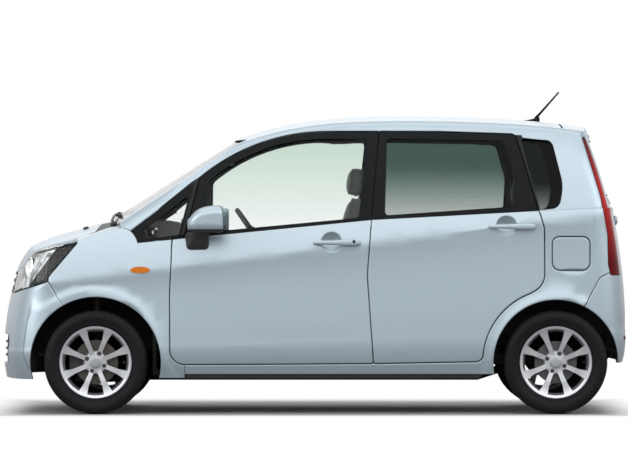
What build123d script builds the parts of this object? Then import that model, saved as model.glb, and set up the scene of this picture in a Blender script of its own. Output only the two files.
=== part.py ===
import os
from math import cos, radians, sin

from build123d import *

os.makedirs("parts", exist_ok=True)

# Millimetres. X points to the tail, Y to the car's right, Z up; the origin is on the ground at mid-length.
wheelbase_front_x = -1165
wheelbase_rear_x = 1290
wheel_z = 276
half_track = 650
tyre_radius = 276
tyre_width = 155
rim_radius = 186
front_arch_radius = 349
rear_arch_radius = 334
rear_door_arch_radius = 394
panel = 25
door_depth = 70
gap = 6
belt_points = [(-940, 912), (309, 1035), (1195, 1083), (1760, 1112)]

# Lower body in plan at each level; the third level is the crease low on the doors, the sixth the shoulder.
body_levels = [
    # z, slope, nose, tail, half, nose bow, tail bow, nose corner, tail corner
    (185, 0.0, -1682, 1640, 696, 130, 60, 190, 140),
    (250, 0.0, -1692, 1676, 721, 130, 60, 190, 140),
    (403, 0.034, -1696, 1697, 737.5, 130, 60, 190, 140),
    (560, 0.06, -1690, 1693, 733, 130, 60, 190, 140),
    (720, 0.09, -1678, 1674, 728, 130, 60, 190, 130),
    (874, 0.1255, -1662, 1646, 731, 130, 60, 190, 120),
    (1010, 0.11, -1600, 1632, 705, 130, 60, 190, 110),
    (1130, 0.0985, -1440, 1600, 672, 130, 60, 190, 110),
]
# Glasshouse in plan, from under the belt to over the roof, same columns.
cabin_levels = [
    (760, 0.0, -1558, 1706, 722, 120, 60, 110, 90),
    (880, 0.0, -1368, 1680, 706, 120, 60, 110, 90),
    (1040, 0.0, -1114, 1640, 680, 115, 60, 100, 90),
    (1260, 0.0, -768, 1580, 640, 100, 60, 85, 90),
    (1480, 0.0, -417, 1506, 590, 80, 60, 70, 90),
    (1680, 0.0, -100, 1430, 535, 70, 60, 60, 90),
]
# Bonnet surface: station, height on the centre line, height at the fender's outer edge.
bonnet_stations = [
    (-1780, 730, 640), (-1600, 860, 780), (-1469, 929, 850), (-1312, 979, 905),
    (-1150, 1024, 962), (-1000, 1058, 980), (-940, 1062, 905),
]
# Roof surface: station, height on the centre line, half width to the rounded edge.
roof_stations = [
    (-1500, 1035, 640), (-760, 1338, 580), (-423, 1476, 545), (-77, 1569, 553), (187, 1597, 559),
    (600, 1603, 562), (1109, 1585, 556), (1400, 1555, 545), (1600, 1515, 538),
]


def plan_ring(level, inset):
    z, slope, nose, tail, half, nose_bow, tail_bow, nose_r, tail_r = level
    taper = 14
    nose, tail, half = nose + inset, tail - inset, half - inset
    fx, rx, hy = nose + nose_bow, tail - tail_bow, half - taper
    mid = (nose + tail) / 2
    outline = [
        ThreePointArc((fx, -hy), (nose, 0), (fx, hy)),
        ThreePointArc((fx, hy), (mid, half), (rx, hy)),
        ThreePointArc((rx, hy), (tail, 0), (rx, -hy)),
        ThreePointArc((rx, -hy), (mid, -half), (fx, -hy)),
    ]
    face = make_face(outline)
    face = fillet([v for v in face.vertices() if v.X < mid], nose_r)
    face = fillet([v for v in face.vertices() if abs(v.X - rx) < 1 and abs(abs(v.Y) - hy) < 1], tail_r)
    plane = Plane(origin=(0, 0, z), x_dir=(1, 0, slope), z_dir=(-slope, 0, 1))
    return plane * face


def across(x):
    return Plane(origin=(x, 0, 0), x_dir=(0, 1, 0), z_dir=(1, 0, 0))


def bonnet_section(x, centre, edge, inset):
    w = 700
    z0, z1 = centre - inset, edge - inset
    outline = [
        ThreePointArc((-w, z1), (0, z0), (w, z1)),
        Polyline((w, z1), (w + 100, z1 - 60), (w + 100, 100), (-w - 100, 100), (-w - 100, z1 - 60), (-w, z1)),
    ]
    return across(x) * make_face(outline)


def roof_section(x, centre, w, inset):
    z0, z1, w = centre - inset, centre - inset - 40, w - inset
    outline = [
        ThreePointArc((-w, z1), (0, z0), (w, z1)),
        Polyline((w, z1), (w + 304, z1 - 760), (-w - 304, z1 - 760), (-w, z1)),
    ]
    face = make_face(outline)
    face = fillet([v for v in face.vertices() if abs(v.Y - z1) < 1], 55)
    return across(x) * face


def side_plane(y):
    return Plane(origin=(0, -y, 0), x_dir=(1, 0, 0), z_dir=(0, -1, 0))


def outline_face(rows):
    points = [(row[0], row[1]) for row in rows]
    radii = [row[2] if len(row) > 2 else 0 for row in rows]
    if any(radii):
        return make_face(FilletPolyline(*points, radius=radii, close=True))
    return make_face(Polyline(*points, close=True))


def left_prism(face, y0=300, y1=960):
    return extrude(side_plane(y0) * face, y1 - y0)


def full_prism(face):
    return extrude(side_plane(-900) * face, 1800)


def rear_prism(face, x0, x1):
    return extrude(across(x0) * face, x1 - x0)


def plan_prism(face, z0, z1):
    return extrude(Pos(0, 0, z0) * face, z1 - z0)


def block(x0, x1, y0, y1, z0, z1):
    return Pos((x0 + x1) / 2, (y0 + y1) / 2, (z0 + z1) / 2) * Box(x1 - x0, y1 - y0, z1 - z0)


def round_block(x0, x1, y0, y1, z0, z1, r):
    solid = block(x0, x1, y0, y1, z0, z1)
    return fillet(solid.edges(), r)


def rod(start, end, r):
    start, end = Vector(*start), Vector(*end)
    length = (end - start).length
    return Plane(origin=start, z_dir=end - start) * Pos(0, 0, length / 2) * Cylinder(r, length)


def right_of(solid):
    return mirror(solid, about=Plane.XZ)


def save(name, *shapes):
    found = []
    for shape in shapes:
        found += [s for s in shape.solids() if s.volume > 500]
    shape = found[0] if len(found) == 1 else Compound(children=found)
    shape.label = name
    export_step(shape, f"parts/{name}.step")
    print(name, len(found), round(sum(s.volume for s in found) / 1e6, 2), all(s.is_valid for s in found))


belt_face = outline_face([(-940, 100)] + belt_points + [(1760, 100)])
belt_block = full_prism(belt_face)


def lower(inset):
    rings = [plan_ring(level, inset) for level in body_levels]
    shape = loft(rings[0:3]) + loft(rings[2:6]) + loft(rings[5:8])
    bonnet = loft([bonnet_section(*row, inset) for row in bonnet_stations])
    deck = bonnet + Pos(0, 0, -inset) * belt_block
    return shape & deck


def cabin(inset):
    shape = loft([plan_ring(level, inset) for level in cabin_levels])
    roof = loft([roof_section(*row, inset) for row in roof_stations])
    return shape & roof


low = {inset: lower(inset) for inset in (0, 12, 25, 31, 70)}
cab = {inset: cabin(inset) for inset in (0, 9, 14, 30, 36, 62)}


def skin(outer, region, inner):
    return (outer & region) - inner


def skin_y(x, z):
    return (low[0] & block(x - 1, x + 1, -900, 0, z - 1, z + 1)).bounding_box().min.Y


def wheel_plane():
    return Plane(origin=(0, 0, 0), x_dir=(1, 0, 0), z_dir=(0, -1, 0))


# Arch flare: a lip that swells out of the skin towards the wheel arch.
flare_skin = lower(-6)


def arch_flare(x, radius, land, fall):
    top = 732 + (land - 2) / fall
    edge = make_face(Polyline(
        (radius, 690), (radius + land + fall * 42, 690), (radius + 2, top), (radius, top), close=True,
    ))
    ring = Pos(x, 0, wheel_z) * Location(wheel_plane()) * revolve(Plane.XZ * edge, Axis.Z)
    return (flare_skin & ring) - low[12]


# Side outlines, left side: x, z, corner radius.
front_door_face = outline_face([
    (-765, 266, 75), (-767, 640, 300), (-753, 941, 12), (-686, 949, 10), (-609, 1262, 6),
    (-293, 1507, 1050), (345, 1507, 6), (304, 1035, 300), (281, 735, 400), (314, 272, 10),
])
rear_door_raw = outline_face([
    (320, 272, 10), (287, 735, 400), (310, 1035, 300), (351, 1507, 6), (672, 1506, 900), (1076, 1493, 30),
    (1197, 1085, 0), (1226, 990, 120), (1228, 690, 100), (1085, 604, 0), (1085, 286, 0),
])
rear_wheel_disc = Pos(wheelbase_rear_x, wheel_z) * Circle(rear_door_arch_radius)
rear_door_face = rear_door_raw - rear_wheel_disc
corner = [v for v in rear_door_face.vertices() if 860 < v.X < 930 and v.Y < 330]
rear_door_face = fillet(corner, 34)
front_window_face = outline_face([
    (-571, 971, 10), (-566, 1246, 40), (-279, 1472, 950), (283, 1472, 20), (240, 1047, 20),
])
rear_window_face = outline_face([
    (379, 1060, 20), (392, 1472, 20), (1016, 1462, 40), (1072, 1276, 120), (1064, 1107, 20),
])
quarter_window_face = outline_face([
    (1108, 1470, 8), (1275, 1462, 45), (1333, 1222, 200), (1313, 1096, 55), (1208, 1090, 8),
])
front_quarter_face = outline_face([(-884, 934, 10), (-918, 972, 14), (-668, 1172, 10), (-722, 956, 6)])
quarter_frame_face = outline_face([(-948, 902, 20), (-990, 970, 20), (-642, 1232, 6), (-708, 952, 4)])
fuel_lid_face = Pos(1371, 856) * RectangleRounded(195, 173, 37)
lamp_face = outline_face([
    (1441, 1478), (1533, 1169), (1569, 955), (1572, 795), (1585, 742), (1760, 742), (1760, 1478),
])
head_face = outline_face([
    (-1730, 634), (-1622, 646), (-1419, 710), (-1417, 731), (-1265, 912), (-1400, 902), (-1553, 846),
    (-1730, 800),
])
front_arch_face = Pos(wheelbase_front_x, wheel_z) * Circle(front_arch_radius)
rear_arch_face = Pos(wheelbase_rear_x, wheel_z) * Circle(rear_arch_radius)
front_arch = full_prism(front_arch_face)
rear_arch = full_prism(rear_arch_face)

# Rear outlines: y, z, corner radius.
tailgate_rows = [
    (-545, 598, 45), (545, 598, 45), (572, 900, 300), (560, 1130, 200), (508, 1480, 10), (508, 1720, 0),
    (-508, 1720, 0), (-508, 1480, 10), (-560, 1130, 200), (-572, 900, 300),
]
tailgate_face = outline_face(tailgate_rows)
tailgate_hole = rear_prism(offset(tailgate_face, gap), 1330, 1900)
rear_window = rear_prism(outline_face([
    (-488, 1140, 50), (488, 1140, 50), (440, 1462, 50), (-440, 1462, 50),
]), 1380, 1900)
windscreen_face = outline_face([(-610, 960), (610, 960), (508, 1468, 60), (-508, 1468, 60)])
windscreen_hole = rear_prism(windscreen_face, -1500, 0)

# Plan outlines: x, y, corner radius.
bonnet_face = outline_face([
    (-1610, -300, 200), (-1560, -470, 60), (-1265, -596, 200), (-1172, -604, 20), (-1150, -300, 0),
    (-1150, 300, 0), (-1172, 604, 20), (-1265, 596, 200), (-1560, 470, 60), (-1610, 300, 200),
])
bonnet_hole = plan_prism(offset(bonnet_face, gap), 600, 1300)
roof_face = outline_face([(-560, -512), (-560, 512), (1326, 512), (1326, -512)])
roof_hole = plan_prism(roof_face, 1400, 1700)


def above_belt(drop):
    rows = [(x, z - drop) for x, z in belt_points]
    return full_prism(outline_face(rows + [(1760, 1700), (-940, 1700)]))


# Pull handle: place along the grip, distance from the skin, depth, height.
handle_rows = [(-4, 12, 8, 11), (36, 22, 15, 22), (150, 26, 17, 30), (225, 22, 17, 31), (248, 12, 10, 20)]


def door(face, window_face, handle_x, handle_z):
    inner_face = offset(face, -35)
    outer = skin(low[0], left_prism(face, 668), low[25])
    inner = skin(low[12], left_prism(inner_face, 600), low[70])
    frame = skin(cab[0], left_prism(face, 400) & above_belt(0), cab[30])
    root = skin(cab[0], left_prism(inner_face, 400) & above_belt(45), cab[30])
    shape = outer + inner + frame + root - left_prism(window_face)
    y = skin_y(handle_x + 98, handle_z)
    dish = Pos(handle_x + 92, y - 40, handle_z + 10) * Sphere(70)
    grip = loft([
        Plane(origin=(handle_x + along, y - out, handle_z), x_dir=(0, 1, 0), z_dir=(1, 0, 0))
        * RectangleRounded(depth, tall, depth / 2 - 1)
        for along, out, depth, tall in handle_rows
    ])
    feet = [block(handle_x + a, handle_x + a + 22, y - 22, y + 12, handle_z - 7, handle_z + 7) for a in (8, 214)]
    return shape - dish + grip + feet[0] + feet[1]


front_left = door(front_door_face, front_window_face, 0, 914)
rear_left = door(rear_door_face, rear_window_face, 934, 1000)
save("front_door_left", front_left)
save("front_door_right", right_of(front_left))
save("rear_door_left", rear_left)
save("rear_door_right", right_of(rear_left))

for name, face in (("front_glass", front_window_face), ("rear_glass", rear_window_face)):
    pane = skin(cab[9], left_prism(face), cab[14])
    save(f"{name}_left", pane)
    save(f"{name}_right", right_of(pane))

# Side mirror on the front door: a foot on the skin, a short arm and a rounded housing.
housing_rows = [
    # x, middle height, width, height, corner radius
    (-670, 1006, 80, 56, 26), (-650, 1016, 124, 84, 38), (-610, 1032, 156, 122, 46), (-540, 1040, 168, 142, 46),
    (-494, 1039, 166, 140, 44), (-484, 1038, 154, 128, 40),
]
housing = loft([
    Plane(origin=(x, -832, z), x_dir=(0, 1, 0), z_dir=(1, 0, 0)) * RectangleRounded(w, h, r)
    for x, z, w, h, r in housing_rows
])
housing -= Pos(-482, -832, 1038) * Rotation(0, 90, 0) * extrude(RectangleRounded(106, 134, 34), 10, both=True)
band_zone = block(-700, -400, -960, -700, 900, 986)
foot = loft([
    Plane(origin=(-624, -700, 915), x_dir=(1, 0, 0), z_dir=(0, -1, 0)) * RectangleRounded(128, 110, 24),
    Plane(origin=(-606, -756, 945), x_dir=(1, 0, 0), z_dir=(0, -1, 0)) * RectangleRounded(84, 56, 20),
])
arm = loft([
    Plane(origin=(-606, -750, 945), x_dir=(1, 0, 0), z_dir=(0, -1, 0)) * RectangleRounded(84, 56, 20),
    Plane(origin=(-590, -800, 1000), x_dir=(1, 0, 0), z_dir=(0, -1, 0.5)) * RectangleRounded(80, 40, 16),
])
mirror_cap = housing - band_zone
mirror_base = (housing & band_zone) + foot + arm - low[0] - cab[0]
save("mirror_left", mirror_cap, mirror_base)
save("mirror_right", right_of(mirror_cap), right_of(mirror_base))

# Tailgate: lower panel with its inner step, window frame and the spoiler at the roof's end.
behind = block(1568, 1900, -800, 800, 100, 1200)
tail_low = skin(low[0], rear_prism(tailgate_face, 1500, 1900) & behind, low[25])
tail_inner = skin(low[12], rear_prism(offset(tailgate_face, -35), 1500, 1900) & behind, low[70])
tail_up = skin(cab[0], rear_prism(tailgate_face, 1340, 1900) & block(1340, 1900, -800, 800, 1040, 1700), cab[30])
tailgate = tail_low + tail_inner + tail_up - rear_window
save("tailgate", tailgate)
save("tailgate_glass", skin(cab[9], rear_window, cab[14]))

bonnet = skin(low[0], plan_prism(bonnet_face, 700, 1300), low[25])
save("bonnet", bonnet)
save("fuel_lid", skin(low[0], left_prism(fuel_lid_face, 600), low[12]))

# Front fenders, and the cowl between bonnet and windscreen.
fender_outline = outline_face([
    (-1355, 598), (-1417, 710), (-1417, 731), (-1265, 912), (-1265, 1100), (-944, 1100), (-850, 935),
    (-690, 945), (-690, 192), (-1100, 192),
])
fender_face = fender_outline - offset(front_door_face, gap)
fender_zone = left_prism(fender_face, 668) + (left_prism(fender_face, 400) & block(-1700, -942, -960, 0, 100, 1200))
fender = skin(low[0], fender_zone, low[25]) - front_arch - bonnet_hole
cowl_face = outline_face([(-1200, -625), (-1200, 625), (-942, 560), (-942, -560)])
cowl_zone = plan_prism(cowl_face, 900, 1200)
fender = fender - cowl_zone
head_zone = left_prism(offset(head_face, 3), 0, 960)
front_flare = arch_flare(wheelbase_front_x, front_arch_radius, 28, 2.2)
fender = fender - head_zone + (front_flare & left_prism(fender_face, 600))
save("fender_left", fender)
save("fender_right", right_of(fender))
save("cowl_panel", skin(low[0], cowl_zone, low[25]) - bonnet_hole)

# Side frame: sill, quarter panel, pillars and roof rail round the door openings.
doors_out = left_prism(offset(front_door_face, gap)) + left_prism(offset(rear_door_face, gap))
doors_in = left_prism(offset(front_door_face, -18)) + left_prism(offset(rear_door_face, -18))
rear_bumper_face = outline_face([
    (1380, 150), (1380, 470), (1451, 587), (1526, 726), (1580, 752), (1800, 752), (1800, 150),
])
front_bumper_face = outline_face([
    (-1800, 100), (-1280, 100), (-1280, 470), (-1355, 598), (-1419, 704), (-1622, 640), (-1800, 628),
])
rear_bumper_hole = left_prism(offset(rear_bumper_face, 3), 0, 960)
lamp_hole = left_prism(offset(lamp_face, 3), 0, 960)
lower_side_face = outline_face([
    (-866, 213), (-866, 1150), (1700, 1150), (1700, 213),
])
fender_cut = left_prism(offset(fender_outline, 2), 560)
lower_side = skin(low[0], left_prism(lower_side_face, 560), low[70]) - rear_arch - front_arch - rear_bumper_hole
lower_side = lower_side - doors_in - (doors_out - low[31]) - (fender_cut - low[31])
upper_side_face = outline_face([
    (-1040, 1010), (-950, 820), (-700, 820), (309, 980), (1195, 1040), (1640, 1062), (1720, 1720), (-1040, 1720),
])
upper_side = skin(cab[0], left_prism(upper_side_face), cab[62])
upper_side = upper_side - doors_in - (doors_out - cab[36]) - ((low[0] & fender_cut) - low[31])
upper_side = upper_side - windscreen_hole - roof_hole - left_prism(quarter_window_face) - left_prism(quarter_frame_face)
rear_flare = arch_flare(wheelbase_rear_x, rear_arch_radius, 22, 2.0)
side = lower_side + upper_side - lamp_hole - tailgate_hole
side = side + ((rear_flare & left_prism(lower_side_face, 600)) - doors_out - rear_bumper_hole)
save("side_frame_right", right_of(side))
save("side_frame_left", side - (left_prism(offset(fuel_lid_face, gap), 600) - low[31]))

sill_face = outline_face([(-686, 190), (-686, 211), (905, 211), (880, 190)])
sill_trim = skin(low[12], left_prism(sill_face, 560), low[70])
save("sill_trim", sill_trim, right_of(sill_trim))
quarter_frame = skin(cab[0], left_prism(quarter_frame_face - front_quarter_face), cab[30]) - low[0]
save("quarter_frames", quarter_frame, right_of(quarter_frame))
quarter_glass = skin(cab[9], left_prism(quarter_window_face), cab[14])
front_quarter = skin(cab[9], left_prism(front_quarter_face), cab[14]) - low[0]
fixed = [quarter_glass, front_quarter]
save("fixed_side_glass", *fixed, *[right_of(p) for p in fixed])
windscreen = skin(cab[9], windscreen_hole, cab[14]) - low[0]
save("windscreen", windscreen)
both_doors = doors_out + right_of(doors_out)
save("roof_panel", skin(cab[0], roof_hole, cab[30]) - windscreen_hole - both_doors)

# Front end: bumper, grille and lamps.
front_bumper = skin(low[0], full_prism(front_bumper_face), low[31]) - front_arch
intake = rear_prism(outline_face([(-430, 262, 30), (430, 262, 30), (470, 420, 40), (-470, 420, 40)]), -1900, -1500)
bumper_flare = front_flare & left_prism(front_bumper_face, 600)
front_bumper = front_bumper - intake + bumper_flare + right_of(bumper_flare)
save("front_bumper", front_bumper)
rear_bumper = skin(low[0], full_prism(rear_bumper_face), low[31]) - rear_arch - tailgate_hole
rear_bumper = rear_bumper - block(1300, 1900, -900, 900, 100, 272) - lamp_hole - right_of(lamp_hole)
save("rear_bumper", rear_bumper)

head = skin(low[0], left_prism(head_face, 352, 960), low[70]) - bonnet_hole
save("headlamps", head, right_of(head))
tail = skin(low[0], left_prism(lamp_face, 0, 960), low[31]) & block(1400, 1900, -960, 0, 700, 1100)
tail = tail + (skin(cab[0], left_prism(lamp_face, 0, 960), cab[36]) & block(1300, 1900, -960, 0, 1060, 1500))
tail = tail - tailgate_hole
save("tail_lamps", tail, right_of(tail))

grille_zone = rear_prism(outline_face([(-346, 644), (346, 644), (346, 900), (-346, 900)]), -1900, -1400)
grille = skin(low[0], grille_zone, low[31]) - bonnet_hole - full_prism(offset(front_bumper_face, 0.5))
slots = [rear_prism(Pos(0, z) * RectangleRounded(600, 22, 8), -1900, -1400) for z in (690, 730, 770)]
for slot in slots:
    grille = grille - slot
save("grille", grille)

repeater = Pos(-927, skin_y(-927, 769) + 1, 769) * Rotation(90, 0, 0) * extrude(Ellipse(52, 17), 9, both=True)
repeater = repeater - low[0]
save("side_repeaters", repeater, right_of(repeater))

# Wheels: tyre, rim with eight spokes, and the brake.
spoke_count = 8
bore = 15.05
spindle = 15.0


def tyre_solid():
    w = tyre_width / 2
    profile = make_face(FilletPolyline(
        (rim_radius - 7.7, -59), (rim_radius + 7, -59), (tyre_radius - 34, -w), (tyre_radius, -w + 20),
        (tyre_radius, w - 20), (tyre_radius - 34, w), (rim_radius + 7, 59), (rim_radius - 7.7, 59),
        radius=[0, 8, 26, 16, 16, 26, 8, 0], close=True,
    ))
    return revolve(Plane.XZ * profile, Axis.Z)


def rim_solid(with_drum):
    barrel = make_face(Polyline(
        (rim_radius - 8, -60), (rim_radius - 8, 60), (rim_radius + 6, 60), (rim_radius + 6, 66), (rim_radius + 1, 66),
        (rim_radius - 9, 61.5), (rim_radius - 13, 53), (rim_radius - 20, 42), (rim_radius - 20, -60),
        (rim_radius - 14, -66), (rim_radius + 6, -66), (rim_radius + 6, -60), close=True,
    ))
    barrel = revolve(Plane.XZ * barrel, Axis.Z)
    hub = make_face(Polyline((0, 27), (66, 27), (66, 40), (58, 51), (32, 53), (30, 60), (24, 62), (0, 63), close=True))
    shape = barrel + revolve(Plane.XZ * hub, Axis.Z)
    spoke_side = make_face(FilletPolyline(
        (40, 30), (40, 52), (110, 61), (187, 65.8), (187, 61), (176, 61), (172, 44), (110, 36),
        radius=[0, 0, 90, 0, 0, 0, 0, 60], close=True,
    ))
    spoke_plan = make_face(FilletPolyline(
        (30, -15), (70, -12), (130, -14), (187, -26), (187, 26), (130, 14), (70, 12), (30, 15),
        radius=[0, 80, 70, 0, 0, 70, 80, 0], close=True,
    ))
    spoke = extrude(Plane.XZ * spoke_side, 30, both=True) & extrude(spoke_plan, 80)
    for n in range(spoke_count):
        shape = shape + Rotation(0, 0, 22.5 + n * 360 / spoke_count) * spoke
    for n in range(4):
        shape = shape - Rotation(0, 0, 67.5 + n * 90) * Pos(50, 0, 52) * Cylinder(11, 14)
    if with_drum:
        drum = Pos(0, 0, -10) * Cylinder(112, 80) - Pos(0, 0, -15) * Cylinder(104, 82)
        shape = shape + drum
    return shape - Pos(0, 0, 30) * Cylinder(bore, 40)


def place_wheel(shape, x, side):
    placed = Pos(x, -half_track, wheel_z) * Location(wheel_plane()) * shape
    return placed if side == "left" else right_of(placed)


tyre = tyre_solid()
disc = Pos(0, 0, 6) * Cylinder(118, 11) + Pos(0, 0, 13.5) * Cylinder(66, 26)
disc = disc - Pos(0, 0, 5) * Cylinder(58, 34) - Pos(0, 0, 20) * Cylinder(bore, 20)
for end, x in (("front", wheelbase_front_x), ("rear", wheelbase_rear_x)):
    rim = rim_solid(end == "rear")
    for side in ("left", "right"):
        save(f"{end}_tyre_{side}", place_wheel(tyre, x, side))
        save(f"{end}_rim_{side}", place_wheel(rim, x, side))
        if end == "front":
            save(f"brake_disc_{side}", place_wheel(disc, x, side))

# Front knuckle with its strut and brake caliper; it turns about the line from ball joint to strut top.
ball = (wheelbase_front_x, -606, 182)
strut_top = (wheelbase_front_x, -482, 846)
strut_low = (wheelbase_front_x, -541, 430)
carrier = block(wheelbase_front_x - 34, wheelbase_front_x + 34, -632, -590, 198, 352)
carrier = fillet(carrier.edges(), 8)
stalk = rod((wheelbase_front_x, -608, 336), strut_low, 18) + Pos(*strut_low) * Sphere(22)
coil = rod((wheelbase_front_x, -509, 618), (wheelbase_front_x, -484, 808), 56)
knuckle = carrier + stalk + rod(strut_low, strut_top, 22) + coil
knuckle = knuckle + rod((wheelbase_front_x, -600, wheel_z), (wheelbase_front_x, -half_track - 48, wheel_z), spindle)
knuckle = knuckle + Pos(*ball) * Sphere(18)
caliper = block(wheelbase_front_x - 140, wheelbase_front_x - 78, -676, -628, wheel_z - 46, wheel_z + 46)
caliper = caliper - Pos(wheelbase_front_x, -half_track - 6, wheel_z) * Rotation(90, 0, 0) * Cylinder(124, 21)
bridge = block(wheelbase_front_x - 120, wheelbase_front_x, -644, -622, wheel_z - 24, wheel_z + 24)
knuckle = knuckle + caliper + bridge
save("knuckle_left", knuckle)
save("knuckle_right", right_of(knuckle))

arm_face = make_face(FilletPolyline(
    (wheelbase_front_x - 26, -610), (wheelbase_front_x + 26, -610), (wheelbase_front_x + 40, -520),
    (wheelbase_front_x + 190, -300), (wheelbase_front_x + 120, -280), (wheelbase_front_x - 40, -420),
    (wheelbase_front_x - 60, -280), (wheelbase_front_x - 130, -280), (wheelbase_front_x - 40, -520),
    radius=[20, 20, 30, 10, 10, 30, 10, 10, 30], close=True,
))
lower_arm = plan_prism(arm_face, 164, 188) - Pos(*ball) * Sphere(24)
subframe = block(wheelbase_front_x - 140, wheelbase_front_x + 200, -300, 300, 180, 250)
subframe = subframe - block(wheelbase_front_x - 60, wheelbase_front_x + 100, -200, 200, 100, 400)
save("front_subframe", subframe + lower_arm + right_of(lower_arm))

# Rear twist beam with trailing arms, backing plates, spindles, springs and dampers.
beam = block(1010, 1080, -520, 520, 262, 322)
trailing = block(880, 1320, -560, -510, 262, 318)
plate = Pos(wheelbase_rear_x, -585, wheel_z) * Rotation(90, 0, 0) * Cylinder(96, 10)
boss = Pos(wheelbase_rear_x, -570, wheel_z) * Rotation(90, 0, 0) * Cylinder(45, 40)
stub = rod((wheelbase_rear_x, -570, wheel_z), (wheelbase_rear_x, -half_track - 48, wheel_z), spindle)
spring = rod((1120, -470, 300), (1120, -470, 476), 48)
damper = rod((1345, -480, 292), (1330, -480, 474), 18) + block(1300, 1360, -530, -470, 268, 300)
bushing = Pos(890, -535, 290) * Rotation(90, 0, 0) * Cylinder(34, 60)
rear_side = trailing + plate + boss + stub + spring + damper + bushing
save("rear_axle", beam + rear_side + right_of(rear_side) + block(1085, 1155, -520, -420, 290, 302))

# Floor, bulkhead, front rails with strut towers, rear floor and wheel housings.
floor = low[70] & block(-862, 878, -640, 640, 205, 235)
step = block(850, 878, -500, 500, 205, 428) + block(850, 940, -500, 500, 404, 428)
rear_floor = block(912, 1620, -524, 524, 478, 502) + block(912, 940, -500, 500, 404, 502)
bulkhead = low[70] & block(-862, -842, -700, 700, 205, 816)
cowl_wall = block(-862, -842, -560, 560, 800, 985)
rail = block(-1560, -842, -384, -330, 330, 430)
apron = block(-1480, -842, -400, -384, 330, 862)
tower = block(-1250, -1080, -560, -384, 852, 866)
tower_leg = block(-1250, -1236, -560, -384, 700, 866) + block(-1094, -1080, -560, -384, 700, 866)
housing_ring = Pos(wheelbase_rear_x, -593, wheel_z) * Rotation(90, 0, 0) * (
    Cylinder(rear_arch_radius + 16, 112) - Cylinder(rear_arch_radius + 4, 200)
)
housing_wall = Pos(wheelbase_rear_x, -530, wheel_z) * Rotation(90, 0, 0) * Cylinder(rear_arch_radius + 16, 14)
wheelhouse = (housing_ring + housing_wall) & block(940, 1566, -730, 0, 420, 700)
front_beam = block(-1600, -1540, -384, 384, 330, 430)
rear_beam = block(1570, 1620, -524, 524, 350, 502)
pan = floor + step + rear_floor + bulkhead + cowl_wall + front_beam + rear_beam
for side_piece in (rail, apron, tower, tower_leg, wheelhouse):
    pan = pan + side_piece + right_of(side_piece)
save("floor_pan", pan)

engine = round_block(-1500, -1140, -310, 310, 300, 800, 24)
save("engine_block", engine)
pipe = rod((-960, 140, 178), (900, 140, 178), 22)
muffler = fillet(block(1380, 1560, -300, 220, 296, 420).edges(), 30)
tail_pipe = rod((1540, 200, 330), (1632, 200, 285), 20)
rise = rod((900, 140, 178), (1400, 140, 340), 22)
save("exhaust", pipe + Pos(900, 140, 178) * Sphere(22) + rise + muffler + tail_pipe)

# Seats.
seat_rows = [(-330, 470, 0), (-330, 600, 60), (60, 580, 60), (190, 1160, 60), (300, 1150, 50), (190, 470, 60)]
seat_face = outline_face(seat_rows)


def front_seat(y):
    base = extrude(side_plane(-(y + 240)) * seat_face, 480)
    base = fillet(base.edges().filter_by(lambda e: abs(abs(e.center().Y - y) - 240) < 1), 26)
    head = round_block(184, 276, y - 125, y + 125, 1172, 1318, 34)
    posts = block(232, 248, y - 60, y - 48, 1120, 1190) + block(232, 248, y + 48, y + 60, 1120, 1190)
    legs = block(-260, 150, y - 200, y - 160, 235, 480) + block(-260, 150, y + 160, y + 200, 235, 480)
    return base + head + posts + legs


save("front_seats", front_seat(-330), front_seat(330))
bench_face = outline_face([
    (600, 430, 20), (600, 590, 50), (1010, 570, 50), (1100, 1120, 50), (1190, 1120, 40), (1120, 502, 10),
    (910, 502, 0), (910, 430, 0),
])
bench = extrude(side_plane(-510) * bench_face, 1020)
bench = fillet(bench.edges().filter_by(lambda e: abs(abs(e.center().Y) - 510) < 1 and e.length > 60), 14)
for y in (-260, 260):
    bench = bench + round_block(1092, 1170, y - 120, y + 120, 1130, 1250, 26)
    bench = bench + block(1132, 1146, y - 60, y - 48, 1100, 1160) + block(1132, 1146, y + 48, y + 60, 1100, 1160)
bench = bench + block(640, 680, -480, 480, 235, 440)
save("rear_seat", bench)

dash_face = outline_face([
    (-841, 560, 0), (-841, 990, 0), (-935, 1000, 0), (-935, 1030, 10), (-780, 1034, 60), (-600, 990, 60),
    (-540, 900, 40), (-620, 640, 60), (-700, 560, 30),
])
dash = extrude(side_plane(-560) * dash_face, 1120)
wheel_centre = Vector(-327, 330, 951)
wheel_axis = Vector(cos(radians(35)), 0, sin(radians(35)))
column_end = wheel_centre - wheel_axis * 46
column_start = wheel_centre - wheel_axis * 420
dash = dash + rod(column_start, column_end, 36)
dash = dash - rod(column_end - wheel_axis * 30, column_end + wheel_axis * 5, bore)
console = block(-760, -520, -120, 120, 235, 720)
save("dashboard", dash + console)

steer_plane = Plane(origin=wheel_centre, x_dir=(0, 1, 0), z_dir=wheel_axis)
rim_ring = Torus(172, 14)
pad = fillet(Cylinder(58, 44).edges(), 12)
spokes = Box(330, 34, 16) + Pos(0, -84, 0) * Box(34, 168, 16)
steer = rim_ring + pad + spokes + Pos(0, 0, -48) * Cylinder(spindle, 56)
save("steering_wheel", steer_plane * steer)

# Aerial on the roof.
aerial = rod((1226, 0, 1590), (1346, 0, 1742), 4) + Pos(1195, 0, 1588) * fillet(Box(90, 34, 36).edges(), 12)
save("aerial", aerial - cab[0])
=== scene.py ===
import math

import bmesh
import bpy
from mathutils import Matrix, Vector
from mathutils.bvhtree import BVHTree


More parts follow.
